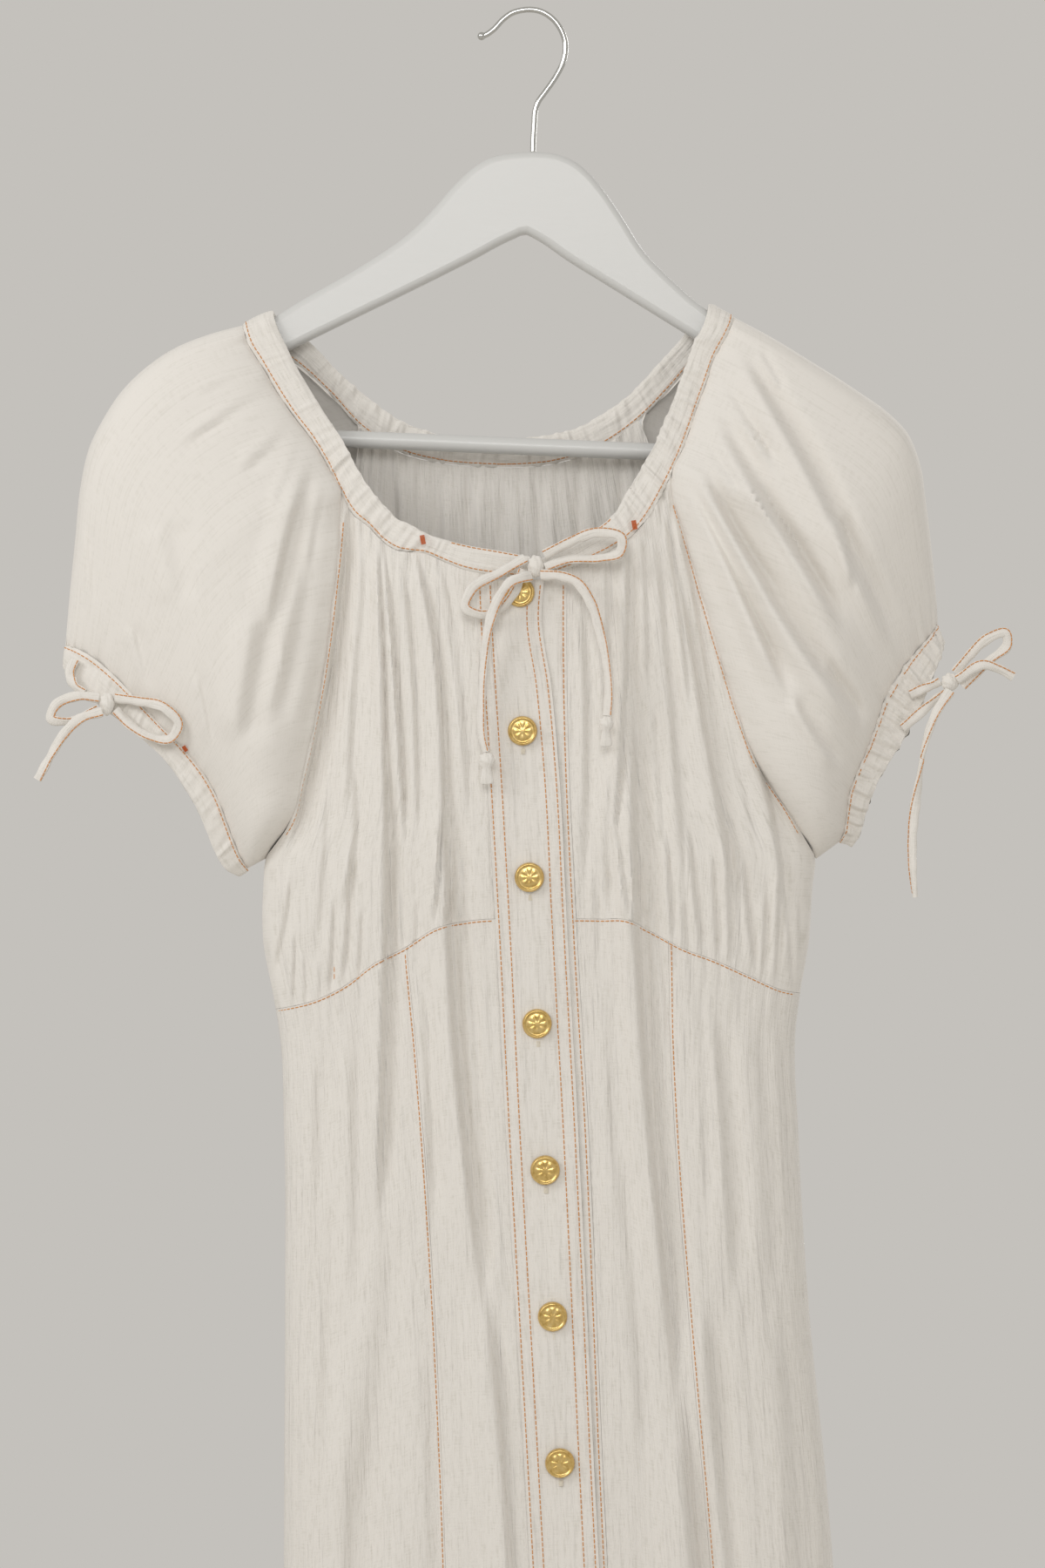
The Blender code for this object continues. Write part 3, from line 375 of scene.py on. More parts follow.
# Folds of the front: each runs through three marks; its left side stands high, drops over
# `steep` and comes back over `soft`, in drawing units; `high` is the drop in millimetres.
FRONT_FOLDS = [
    # u1, v1, u2, v2, u3, v3, high, steep, soft
    (440, 850, 437, 1150, 430, 1430, 7, 7, 26), (430, 1390, 420, 1550, 402, 1740, 2.5, 24, 34),
    (503, 860, 516, 1180, 552, 1520, 9, 9, 34), (550, 1460, 580, 1760, 604, 2100, 10, 20, 44),
    (720, 740, 728, 1120, 775, 1650, 8.5, 10, 40), (770, 1580, 796, 1900, 830, 2420, 10, 20, 50),
    (812, 1140, 826, 1300, 838, 1500, 4, 10, 26), (800, 1480, 816, 1660, 840, 1900, 6, 12, 30),
    (836, 1860, 858, 2150, 886, 2600, 7, 30, 46), (392, 1500, 380, 1900, 372, 2600, 7, 34, 44),
    (448, 1750, 446, 2150, 452, 2600, 8, 34, 50), (604, 2050, 616, 2300, 628, 2600, 5, 26, 20),
    (748, 2000, 768, 2300, 790, 2600, 6, 30, 40), (936, 1950, 950, 2250, 962, 2600, 6, 26, 36),
    (774, 650, 806, 840, 846, 1070, 6, 8, 26), (833, 780, 880, 925, 902, 1080, 5.5, 7, 22),
    (472, 620, 496, 745, 508, 960, 5.5, 6, 20), (437, 608, 450, 770, 464, 1000, 4.6, 5, 12),
    (418, 585, 402, 780, 390, 990, 2.6, 10, 18), (429, 596, 436, 750, 439, 960, 4.4, 5, 12),
    (457, 625, 469, 750, 478, 985, 2.6, 6, 12), (482, 628, 522, 790, 532, 985, 2.8, 12, 22),
    (498, 640, 514, 700, 530, 780, 1.6, 7, 12), (402, 870, 404, 950, 386, 1060, 2.4, 7, 14),
    (372, 900, 366, 990, 358, 1100, 1.8, 9, 16), (330, 1000, 322, 1060, 306, 1130, 2.5, 8, 16),
    (748, 600, 766, 820, 786, 1060, 2.6, 8, 18), (716, 592, 717, 730, 700, 1000, 5, 5, 16),
    (700, 860, 692, 950, 690, 1060, 2.5, 8, 16), (664, 680, 668, 850, 662, 1050, 2.8, 8, 12),
    (690, 625, 694, 720, 690, 860, 2, 6, 12), (733, 600, 738, 700, 740, 800, 2, 6, 10),
    (758, 575, 775, 700, 790, 830, 2.6, 6, 12), (766, 560, 796, 700, 820, 850, 2, 6, 12),
    (745, 800, 752, 900, 758, 1000, 1.8, 7, 12), (560, 1110, 566, 1180, 578, 1260, 2.6, 8, 14),
    (562, 1250, 578, 1380, 570, 1510, 3.2, 9, 14), (690, 1090, 694, 1250, 704, 1450, 2, 16, 22),
    (704, 1300, 716, 1500, 730, 1700, 2.5, 18, 24), (752, 1080, 757, 1130, 762, 1210, 1.8, 8, 10),
    (792, 1120, 800, 1250, 806, 1400, 1.8, 12, 16),
    (855, 1150, 866, 1300, 872, 1500, 2.4, 20, 26),
    (885, 1160, 893, 1300, 900, 1450, 1.8, 14, 20), (880, 1500, 896, 1700, 908, 1900, 3, 22, 30),
    (350, 1480, 352, 1650, 350, 1850, 2.4, 22, 26),
    (475, 1540, 482, 1700, 486, 1900, 2.4, 20, 26), (398, 560, 374, 770, 322, 1000, 7.5, 7, 26),
    (355, 1180, 352, 1360, 349, 1560, 3, 18, 28), (395, 1170, 399, 1330, 394, 1540, 3, 14, 22),
    (372, 1330, 368, 1500, 360, 1720, 2.4, 16, 22), (532, 1075, 540, 1200, 548, 1330, 2.6, 8, 12),
    (478, 1100, 486, 1250, 492, 1420, 2.4, 9, 14),
]
BACK_FOLDS = [
    (455, 530, 452, 640, 448, 800, 5, 6, 18), (505, 538, 504, 660, 500, 860, 6, 6, 20),
    (540, 540, 542, 640, 544, 780, 4.5, 6, 14), (579, 542, 580, 680, 582, 900, 6, 6, 16),
    (622, 538, 624, 640, 630, 820, 5, 6, 16), (662, 530, 672, 640, 684, 800, 6, 6, 18),
    (708, 520, 724, 640, 742, 820, 5, 6, 18), (420, 1170, 410, 1800, 404, 2600, 11, 26, 56),
    (520, 1170, 524, 1800, 530, 2600, 12, 24, 60), (640, 1170, 664, 1800, 690, 2600, 13, 28, 60),
    (740, 1170, 786, 1800, 832, 2600, 12, 24, 56), (840, 1170, 880, 1800, 930, 2600, 10, 24, 46),
    (470, 1170, 466, 1400, 462, 1700, 5, 16, 24), (582, 1165, 590, 1450, 600, 1760, 6, 14, 26),
    (696, 1165, 712, 1380, 730, 1650, 5, 14, 24), (800, 1168, 822, 1420, 846, 1720, 5, 14, 22),
    (430, 820, 424, 980, 418, 1140, 5, 9, 18), (478, 880, 474, 1010, 470, 1140, 4, 7, 14),
    (530, 840, 530, 990, 528, 1140, 5, 8, 18), (604, 860, 606, 1000, 608, 1140, 4.5, 8, 16),
    (660, 830, 668, 980, 674, 1140, 5, 8, 18), (716, 880, 726, 1010, 734, 1140, 4, 7, 14),
    (770, 840, 790, 990, 806, 1140, 5, 9, 18), (838, 900, 852, 1020, 862, 1135, 4, 8, 14),
]
# Gathers that run up from the waist seam, uneven in length and slant, and the short puckers
# that they leave under it.
WAIST_GATHERS = [
    # u at its top, u at the seam, length, high
    (336, 332, 74, 1.8), (346, 349, 52, 1.4), (380, 374, 96, 2.2), (366, 362, 40, 1.2),
    (400, 389, 128, 2.6), (412, 408, 70, 1.8), (421, 423, 52, 1.4), (443, 449, 96, 2.4),
    (458, 460, 62, 1.6), (476, 473, 46, 1.2), (503, 494, 110, 2.8), (516, 507, 60, 1.8),
    (528, 527, 66, 1.8), (536, 540, 52, 1.4), (556, 553, 38, 1.0), (679, 682, 46, 1.4),
    (694, 699, 54, 1.6), (706, 720, 92, 2.6), (725, 736, 66, 2.0), (742, 750, 40, 1.2),
    (763, 770, 104, 2.6), (782, 786, 48, 1.4), (788, 804, 120, 2.8), (815, 821, 104, 2.2),
    (832, 836, 130, 2.6), (850, 866, 116, 2.4), (877, 871, 84, 2.0), (893, 886, 108, 2.4),
    (902, 908, 60, 1.6), (914, 915, 90, 1.6),
]
for top, foot, length, high in WAIST_GATHERS:
    seam = float(EMPIRE_FRONT(foot)) + 4
    FRONT_FOLDS.append((top, seam - 1.3 * length, (top + foot) / 2, seam - length / 2, foot,
                        seam, high, 4.5, 9))
    FRONT_FOLDS.append((foot, seam - 6, foot + 1, seam + 10, foot + 2, seam + 32, 0.7, 5, 7))


def fold_profile(d, share, high, steep, soft):
    """A fold's height in metres at a distance from its line and a share of its length."""
    shape = np.where(d < 0, 0.5 * ease(1 + d / soft), np.where(
        d < steep, 0.5 - ease(d / steep), -0.5 * ease(1 - (d - steep) / soft)))
    return 0.001 * high * shape * ease(share / 0.2) * ease((1 - share) / 0.25)


def fold_height(u, v, table):
    """How far the body's cloth stands out of its smooth form, in metres; its folds run down."""
    out = np.zeros(u.shape)
    for u1, v1, u2, v2, u3, v3, high, steep, soft in table:
        rows = (v > v1) & (v < v3)
        if not rows.any():
            continue
        at = line([(v1, u1), (v2, u2), (v3, u3)])(v[rows])
        d, share = u[rows] - at, (v[rows] - v1) / (v3 - v1)
        out[rows] += fold_profile(d, share, high, steep, soft)
    return out


def rumple(u, v):
    """The uneven lengthwise ripples of washed gauze, in metres."""
    return 0.00007 * (np.sin(u / 5.1 + 2.2 * np.sin(v / 170 + u / 90))
                      + 0.8 * np.sin(u / 3.1 + 3.0 * np.sin(v / 120) + v / 160)
                      + 1.6 * np.sin(u / 12.7 + 2.6 * np.sin(v / 260 + u / 60)))


def across(v, u):
    """The angle round the body at u, from -90 degrees at its left side to 90 at its right."""
    left, middle, right = np.moveaxis(BODY(v)[..., :3], -1, 0)
    half = np.where(u < middle, middle - left, right - middle)
    k = np.clip((u - middle) / half, -1, 1)
    return np.sign(k) * np.arcsin(np.abs(k) ** (1 / ROUND_U))


def body_mark(angle, v):
    """The drawing's u at an angle round the body."""
    left, middle, right = np.moveaxis(BODY(v)[..., :3], -1, 0)
    half = np.where(angle < 0, middle - left, right - middle)
    return middle + half * np.sign(angle) * np.abs(np.sin(angle)) ** ROUND_U


def smooth_depth(u, v, face):
    """The depth y of the body's form at u, v, with no folds."""
    return 0.001 * BODY(v)[..., 3 if face == "front" else 4] * np.cos(across(v, u)) ** ROUND_Y


def body_depth(u, v, face, lift=0.0):
    """The depth y of the body's front or back at u, v, its folds included."""
    u, v = np.broadcast_arrays(np.asarray(u, float), np.asarray(v, float))
    form = smooth_depth(u, v, face)
    angle = across(v, u)
    calm = ease((np.pi / 2 - np.abs(angle)) / 0.35)
    if face == "front":
        calm = calm * ease(np.maximum(BAND_LEFT(v) - 8 - u, u - UNDER_RIGHT(v) + 4) / 24)
        out = FRONT_GAIN * calm * fold_height(u, v, FRONT_FOLDS)
        out += (0.25 + 0.75 * calm) * rumple(u, v)
        return form - (SEAM + out + lift)
    out = calm * fold_height(u, v, BACK_FOLDS) + (0.25 + 0.75 * calm) * rumple(u + 300, v)
    return form + (SEAM + out + lift)


def hem_mark(u, v, face):
    """v of the level hem at each u: perspective puts it lower on the drawing at the front."""
    depth = body_depth(u[-1:], v[-1:], face)
    return EYE_V + (EYE[2] - HEM_Z) / (UNIT * (depth - EYE[1]) / (DRAWING_Y - EYE[1])) + 0 * u


def panel_marks(left, right, top, bottom, columns, rows, face, raglans=(None, None)):
    """The marks u, v of a grid between two seams u(v) and two seams v(u), or the hem. Where a
    side is cut back to a raglan seam, only the columns near it are drawn in."""
    s = np.linspace(0, 1, columns + 1)[None, :]
    t = np.linspace(0, 1, rows + 1)[:, None]
    v = 600.0 + 1400.0 * t + 0 * s
    for _ in range(8):
        start, end = across(v, left(v)), across(v, right(v))
        u = body_mark(start + (end - start) * s, v)
        if raglans[0]:
            cut = np.maximum(raglans[0](v) + SEAM / UNIT - u[:, :1], 0) * (v < UNDERARM_V)
            u = u + cut * ease(1 - s / 0.45)
        if raglans[1]:
            cut = np.maximum(u[:, -1:] - raglans[1](v) + SEAM / UNIT, 0) * (v < UNDERARM_V)
            u = u - cut * ease(1 - (1 - s) / 0.45)
        last = bottom(u) if bottom else hem_mark(u, v, face)
        v = top(u) + (last - top(u)) * t
    return u, v


def panel(left, right, top, columns, rows, face):
    u, v = panel_marks(left, right, top, None, columns, rows, face)
    return place(u, v, body_depth(u, v, face))


def inset(seam, distance):
    """A seam moved by a distance in metres along the drawing."""
    return lambda station: seam(station) + distance / UNIT


def left_side(v):
    return BODY(v)[..., 0]


def right_side(v):
    return BODY(v)[..., 2]


def dress_piece(name, points, finish, flat, area=None, held="gathered",
                rests_on="neck_casing_cloth", **grid):
    """A cloth piece of the dress in place of its solid. The sheet size and area that it is given
    are not used.
    """
    made = cloth_grid(name + "_cloth", points, finish, **grid)
    settle(made, name)


for name, left, right, columns, flat, area in (
    ("skirt_side_front_left", left_side, inset(PRINCESS_LEFT, -SEAM), 76, (0.155, 0.78), 0.105),
    ("skirt_front_left", inset(PRINCESS_LEFT, SEAM), inset(BAND_LEFT, BAND_GAP), 36, (0.085, 0.78),
     0.050),
    ("skirt_front_right", inset(UNDER_RIGHT, SEAM), inset(PRINCESS_RIGHT, -SEAM), 42,
     (0.085, 0.78), 0.052),
    ("skirt_side_front_right", inset(PRINCESS_RIGHT, SEAM), right_side, 76, (0.125, 0.78),
     0.086),
):
    dress_piece(name, panel(left, right, inset(EMPIRE_FRONT, SEAM), columns, 150, "front"),
                GAUZE, flat, area, held="hung", wall=CLOTH)
dress_piece("skirt_back",
            panel(left_side, right_side, inset(EMPIRE_BACK, SEAM), 120, 90, "back"),
            GAUZE, (0.40, 0.76), 0.27, held="hung", wall=CLOTH)

# Bodice. Two fronts and a back, gathered into the neck casing and into the waist seam, with
# slanting raglan seams to the sleeves. NECK is the casing section by section, from the left of
# the front opening over the left shoulder and round: seam edge u, v, free edge u, v, depth.
NECK = [
    (608, 664, 609, 639, -39.3), (565, 660, 566, 631, -38), (533, 654, 537, 626, -36.5),
    (510, 645, 513, 620, -35), (486, 635, 487, 611, -33.5), (470, 634, 472, 602, -32),
    (456, 632, 458, 596, -31), (442, 624, 447, 586, -29.5), (421, 603, 428, 564, -27),
    (405, 590, 414, 543, -25), (392, 568, 404, 525, -23), (375, 533, 391, 501, -20),
    (359, 506, 378, 482, -17.5), (332, 471, 358, 450, -15), (311, 438, 340, 420, -13),
    (296, 413, 331, 402, -12), (284, 394, 321, 381, -10.5), (280, 381, 315, 365, -8.8),
    (279, 375, 314, 358, -5.4), (279, 374, 314, 357, 0), (279, 375, 314, 358, 5.4),
    (284, 382, 319, 365, 8.8), (299, 394, 331, 374, 9.8), (337, 416, 357, 394, 10.5),
    (378, 452, 392, 430, 12), (413, 491, 424, 457, 13), (455, 518, 456, 480, 14),
    (501, 531, 500, 497, 15), (545, 536, 544, 502, 16), (590, 537, 588, 503, 16.5),
    (635, 533, 630, 499, 16), (675, 521, 664, 490, 15), (703, 506, 690, 476, 14),
    (737, 480, 714, 460, 12.5), (765, 452, 741, 434, 11.5), (787, 427, 763, 410, 10.5),
    (822, 388, 796, 374, 9.8), (839, 372, 811, 358, 8.8), (842, 366, 813, 352, 5.4),
    (842, 365, 813, 351, 0), (842, 366, 813, 352, -5.4), (841, 372, 812, 358, -8.8),
    (835, 385, 807, 374, -10.5), (822, 409, 796, 394, -12), (811, 440, 785, 426, -13.5),
    (802, 465, 775, 453, -15), (793, 492, 764, 480, -17.5), (784, 516, 754, 504, -20),
    (772, 543, 738, 533, -23), (757, 573, 721, 562, -26), (743, 596, 706, 588, -29),
    (726, 615, 692, 602, -31.5), (702, 631, 672, 614, -34), (672, 645, 650, 628, -36.5),
    (622, 663, 622, 641, -39.3),
]
NECK_FRONT_LEFT, NECK_BACK_LEFT = 10, 25
NECK_BACK_RIGHT, NECK_FRONT_RIGHT = 33, 48
NECK_LEFT_SHOULDER, NECK_RIGHT_SHOULDER = 19, 39
RAGLAN_FRONT_LEFT = line([
    (540, 391), (584, 391), (676, 383), (787, 368), (895, 345), (950, 330), (985, 305),
])
RAGLAN_FRONT_RIGHT = line([
    (520, 768), (545, 770), (640, 795), (770, 833), (830, 852), (880, 872), (930, 905), (972, 929),
    (985, 937),
])
RAGLAN_BACK_LEFT = line([
    (480, 414), (520, 410), (620, 396), (740, 376), (860, 350), (950, 328), (985, 305),
])
RAGLAN_BACK_RIGHT = line([
    (480, 732), (500, 742), (520, 749), (620, 776), (740, 814), (860, 862), (950, 918), (985, 937),
])
UNDERARM_V = 985.0


def neck_seam(first, last):
    """v of the neck seam at each u, between two of its sections."""
    return line(sorted((row[0], row[1]) for row in NECK[first:last + 1]))


PUCKER_REACH, PUCKER_HIGH = 30.0, 0.0011


def puckered(left, right, top, bottom, columns, rows, face, raglans):
    """A bodice piece whose cloth puckers where it is gathered into the neck casing."""
    u, v = panel_marks(left, right, top, bottom, columns, rows, face, raglans)
    near = np.exp(-np.maximum(v - top(u), 0) / (PUCKER_REACH * (1 + 0.6 * np.sin(u / 9.3))))
    wave = np.sin(u / 2.3 + 1.4 * np.sin(u / 17)) + 0.6 * np.sin(u / 4.1 + 2)
    flat = ease(np.maximum(486 - u, u - 736) / 22) if face == "front" else 1.0
    lift = PUCKER_HIGH * near * wave * ease((v - top(u)) / 3 + 0.4) * flat
    return place(u, v, body_depth(u, v, face, lift))


dress_piece("bodice_front_left", puckered(
    left_side, inset(BAND_LEFT, BAND_GAP), neck_seam(0, NECK_FRONT_LEFT),
    inset(EMPIRE_FRONT, -SEAM), 150, 120, "front", (RAGLAN_FRONT_LEFT, None)),
    GAUZE, (0.15, 0.31), 0.036, wall=CLOTH)
dress_piece("bodice_front_right", puckered(
    inset(UNDER_RIGHT, SEAM), right_side, neck_seam(NECK_FRONT_RIGHT, len(NECK) - 1),
    inset(EMPIRE_FRONT, -SEAM), 160, 120, "front", (None, RAGLAN_FRONT_RIGHT)),
    GAUZE, (0.15, 0.31), 0.036, wall=CLOTH)
dress_piece("bodice_back", puckered(
    left_side, right_side, neck_seam(NECK_BACK_LEFT, NECK_BACK_RIGHT),
    inset(EMPIRE_BACK, -SEAM), 170, 84, "back", (RAGLAN_BACK_LEFT, RAGLAN_BACK_RIGHT)),
    GAUZE, (0.40, 0.35), 0.115, wall=CLOTH)

# Sleeves. Each is one puffed piece of gauze, gathered into the neck casing at the top and into
# the cuff at its end, and joined to the bodice along the slanting raglan seams. The underarm
# corner meets the side seam.
CUFF_LEFT = [
    (76, 740, 73, 768), (92, 746, 84, 782), (110, 757, 99, 797), (130, 774, 117, 812),
    (155, 800, 140, 830), (184, 831, 166, 851), (211, 859, 190, 874), (233, 886, 210, 902),
    (249, 914, 226, 929), (259, 940, 236, 952), (268, 965, 246, 977), (277, 986, 259, 998),
    (284, 996, 274, 1006),
]
CUFF_RIGHT = [
    (1076, 716, 1085, 738), (1068, 729, 1081, 754), (1055, 744, 1075, 770),
    (1041, 761, 1067, 789), (1028, 780, 1060, 807), (1015, 803, 1050, 825),
    (1007, 826, 1042, 843), (998, 852, 1029, 864), (985, 883, 1013, 890),
    (975, 911, 1001, 915), (972, 935, 994, 937), (969, 955, 988, 958), (963, 966, 979, 972),
]
OUTER_LEFT = [(279, 374.5), (240, 385), (200, 401), (165, 425), (140, 450), (120, 480),
              (104, 512), (93, 560), (87, 620), (81, 680), (76, 740)]
OUTER_RIGHT = [(842, 365), (880, 385), (930, 415), (985, 450), (1020, 475), (1041, 497),
               (1055, 530), (1063, 580), (1070, 640), (1075, 695), (1076, 716)]
CUFF_HALF_DEPTH = 0.018
SLEEVE_FRONT, SLEEVE_BACK = 0.026, 0.022
SLEEVE_FOLDS = [
    # u1, v1, u2, v2, u3, v3, high, steep, soft
    (334, 474, 308, 508, 270, 540, 3.6, 6, 16), (360, 510, 332, 590, 300, 730, 8.1, 11, 30),
    (386, 560, 374, 690, 340, 850, 7.2, 11, 24), (312, 440, 262, 470, 200, 514, 2.6, 5, 16),
    (300, 415, 262, 432, 220, 452, 1.4, 5, 12), (347, 495, 328, 540, 308, 590, 2.4, 5, 12),
    (374, 535, 360, 590, 348, 660, 4.2, 8, 12), (148, 716, 160, 765, 172, 806, 3.6, 6, 16),
    (290, 700, 276, 780, 262, 860, 6.6, 22, 30), (97, 600, 100, 650, 105, 700, 1.6, 6, 14),
    (175, 600, 186, 650, 195, 700, 3.8, 24, 30), (345, 640, 322, 750, 300, 840, 4.8, 16, 24),
    (222, 770, 232, 815, 240, 860, 2.2, 7, 14), (828, 384, 918, 532, 1030, 770, 12.6, 12, 24),
    (802, 462, 868, 572, 968, 738, 11.4, 13, 24), (783, 516, 872, 676, 1002, 868, 14.4, 12, 26),
    (774, 540, 826, 640, 904, 808, 11.4, 10, 22), (868, 402, 882, 425, 898, 452, 3.4, 5, 10),
    (958, 586, 968, 630, 978, 680, 6, 8, 14), (850, 545, 905, 625, 968, 730, 7.9, 8, 14),
    (818, 430, 850, 480, 890, 540, 6, 7, 10), (793, 490, 822, 535, 850, 575, 6, 7, 10),
    (800, 545, 850, 630, 900, 700, 6, 8, 14), (905, 800, 935, 850, 962, 888, 6.4, 9, 14),
    (940, 760, 966, 800, 990, 836, 6.4, 8, 12),
]


def fold_height_free(u, v, table):
    """The same for folds that run in any direction: by the distance from each fold's line."""
    out = np.zeros(u.shape)
    for u1, v1, u2, v2, u3, v3, high, steep, soft in table:
        reach = max(steep, soft) + 2
        near = ((u > min(u1, u2, u3) - reach) & (u < max(u1, u2, u3) + reach)
                & (v > min(v1, v3) - reach) & (v < max(v1, v3) + reach))
        if not near.any():
            continue
        p, q = u[near], v[near]
        path = along([(u1, v1), (u2, v2), (u3, v3)])(np.linspace(0, 1, 9))
        best, side, share = np.full(p.shape, np.inf), np.zeros(p.shape), np.zeros(p.shape)
        for i, (a, b) in enumerate(zip(path[:-1], path[1:])):
            step = b - a
            f = np.clip(((p - a[0]) * step[0] + (q - a[1]) * step[1]) / (step @ step), 0, 1)
            du, dv = p - a[0] - f * step[0], q - a[1] - f * step[1]
            closer = np.hypot(du, dv) < best
            best = np.where(closer, np.hypot(du, dv), best)
            side = np.where(closer, np.sign(du * step[1] - dv * step[0]), side)
            share = np.where(closer, (i + f) / 8.0, share)
        d = best * np.where(side == 0, 1, side)
        out[near] += fold_profile(d, share, high, steep, soft)
    return out


# The sleeves' gauze: finer relief, no broad bumps, and a paler painted shade in the hollows of its
# crinkles.
SLEEVE_GAUZE = gauze("ivory_cotton_gauze_flat", painted_shade="DEDAD3", crinkle_mm=2.0, relief=0.45,
                     broad=0.0)
NECK_ROWS = np.array(NECK, float)
SLEEVE_AROUND, SLEEVE_ALONG = {"front": 146, "back": 56}, 160
# The back of a sleeve has softer folds in much the same places.
SLEEVE_BACK_FOLDS = [(*row[:6], 0.45 * row[6], 2.2 * row[7], 1.3 * row[8])
                     for row in SLEEVE_FOLDS]


def sleeve_half(face, shoulder, corner, raglan, outer, cuff, outward):
    """Half a sleeve: rows from the body to the cuff, columns from the outer edge inward."""
    columns = SLEEVE_AROUND[face]
    share = (1 - np.cos(np.linspace(0, np.pi, columns + 1))) / 2
    step = 1 if corner > shoulder else -1
    neck = NECK_ROWS[np.arange(shoulder, corner + step, step)]
    v = np.linspace(neck[-1, 1] + 12, UNDERARM_V, 9)
    u = raglan(v)
    body = np.column_stack([u, v, 1000 * smooth_depth(u, v, face)])
    ring = along(np.vstack([neck[:, [0, 1, 4]], body]))(share)
    on_seam = ease((ring[:, 1] - neck[-1, 1] - 10) / 20)
    creased = on_seam * (body_depth(ring[:, 0], ring[:, 1], face)
                         - smooth_depth(ring[:, 0], ring[:, 1], face))
    run = np.gradient(ring[:, :2], axis=0)
    off = np.column_stack([run[:, 1], -run[:, 0]]) / np.hypot(run[:, 0], run[:, 1])[:, None]
    off *= np.sign(off[len(off) // 2, 0]) * outward
    ring[:, :2] += off * np.where(ring[:, 1] < neck[-1, 1] + 10, 0.0008, 0.0001)[:, None] / UNIT
    sign = -1 if face == "front" else 1
    ring[-1, 2] = sign * 1000 * SEAM
    hem_line = along([row[:2] for row in cuff])(share)
    hem_depth = sign * CUFF_HALF_DEPTH * np.sin(np.pi * share) ** 0.7
    t = np.linspace(0, 1, SLEEVE_ALONG + 1)
    out_line = along(outer)(t)
    arm_line = ring[-1, :2] + (hem_line[-1] - ring[-1, :2]) * t[:, None]
    t, s = t[:, None, None], share[None, :, None]
    # Coons patch: the four edges blended, less their corners.
    marks = ((1 - t) * ring[None, :, :2] + t * hem_line[None]
             + (1 - s) * out_line[:, None] + s * arm_line[:, None]
             - (1 - t) * ((1 - s) * ring[0, :2] + s * ring[-1, :2])
             - t * ((1 - s) * hem_line[0] + s * hem_line[-1]))
    around = np.linspace(0, 1, columns + 1)[None, :]
    bow = np.sin(np.pi * around) ** (0.6 if face == "front" else 1.0)
    t = t[..., 0]
    puff = SLEEVE_FRONT if face == "front" else SLEEVE_BACK
    puff = puff * bow * np.sin(np.pi * t**0.8) ** 0.7
    depth = (1 - t) * ring[None, :, 2] * 0.001 + t * hem_depth[None]
    depth = depth + np.exp(-t / 0.03) * creased[None]
    folds = fold_height_free(marks[..., 0], marks[..., 1],
                             SLEEVE_FOLDS if face == "front" else SLEEVE_BACK_FOLDS)
    folds = folds * ease(4 * bow) * ease(5 * t) * ease(5 * (1 - t))
    # Gathers fan out from both ends and die away along the sleeve.
    fan = np.sin(120 * around + 3 * np.sin(11 * around)) + 0.7 * np.sin(67 * around + 1)
    folds = folds + 0.0007 * ease(5 * bow) * fan * (np.exp(-t / 0.05) + np.exp(-(1 - t) / 0.05))
    return place(marks[..., 0], marks[..., 1], depth + sign * (puff + folds))


for side, shoulder, front, back, raglans, outer, cuff, outward in (
    ("left", NECK_LEFT_SHOULDER, NECK_FRONT_LEFT, NECK_BACK_LEFT,
     (RAGLAN_FRONT_LEFT, RAGLAN_BACK_LEFT), OUTER_LEFT, CUFF_LEFT, -1),
    ("right", NECK_RIGHT_SHOULDER, NECK_FRONT_RIGHT, NECK_BACK_RIGHT,
     (RAGLAN_FRONT_RIGHT, RAGLAN_BACK_RIGHT), OUTER_RIGHT, CUFF_RIGHT, 1),
):
    front_half = sleeve_half("front", shoulder, front, raglans[0], outer, cuff, outward)
    back_half = sleeve_half("back", shoulder, back, raglans[1], outer, cuff, outward)
    front_half[:, -1, 1] = back_half[:, -1, 1] = 0.0
    dress_piece(f"sleeve_{side}", np.concatenate([front_half, back_half[:, -2::-1]], axis=1),
                SLEEVE_GAUZE, (0.42, 0.29), 0.105, wrap=True, wall=CLOTH)

# Casings. Flat tubes of gauze round the neck and the cuffs, drawn up on their ties into fine
# uneven gathers that run across them, and topstitched along the seam edge.
CASING_GAUZE = gauze("gathered_gauze", crinkle_mm=1.4, relief=0.8)
NECK_THICK, CUFF_THICK, CASING_SIDES = 0.0034, 0.0032, 22
NECK_RIDGES, NECK_SECTIONS, CUFF_RIDGES, CUFF_SECTIONS = 0.0044, 1250, 0.0050, 620
# The columns of a casing that its rows of stitches follow, on the seam and the free edge.
FRONT_ROW, BACK_ROW, FREE_ROW = 14, 8, 20


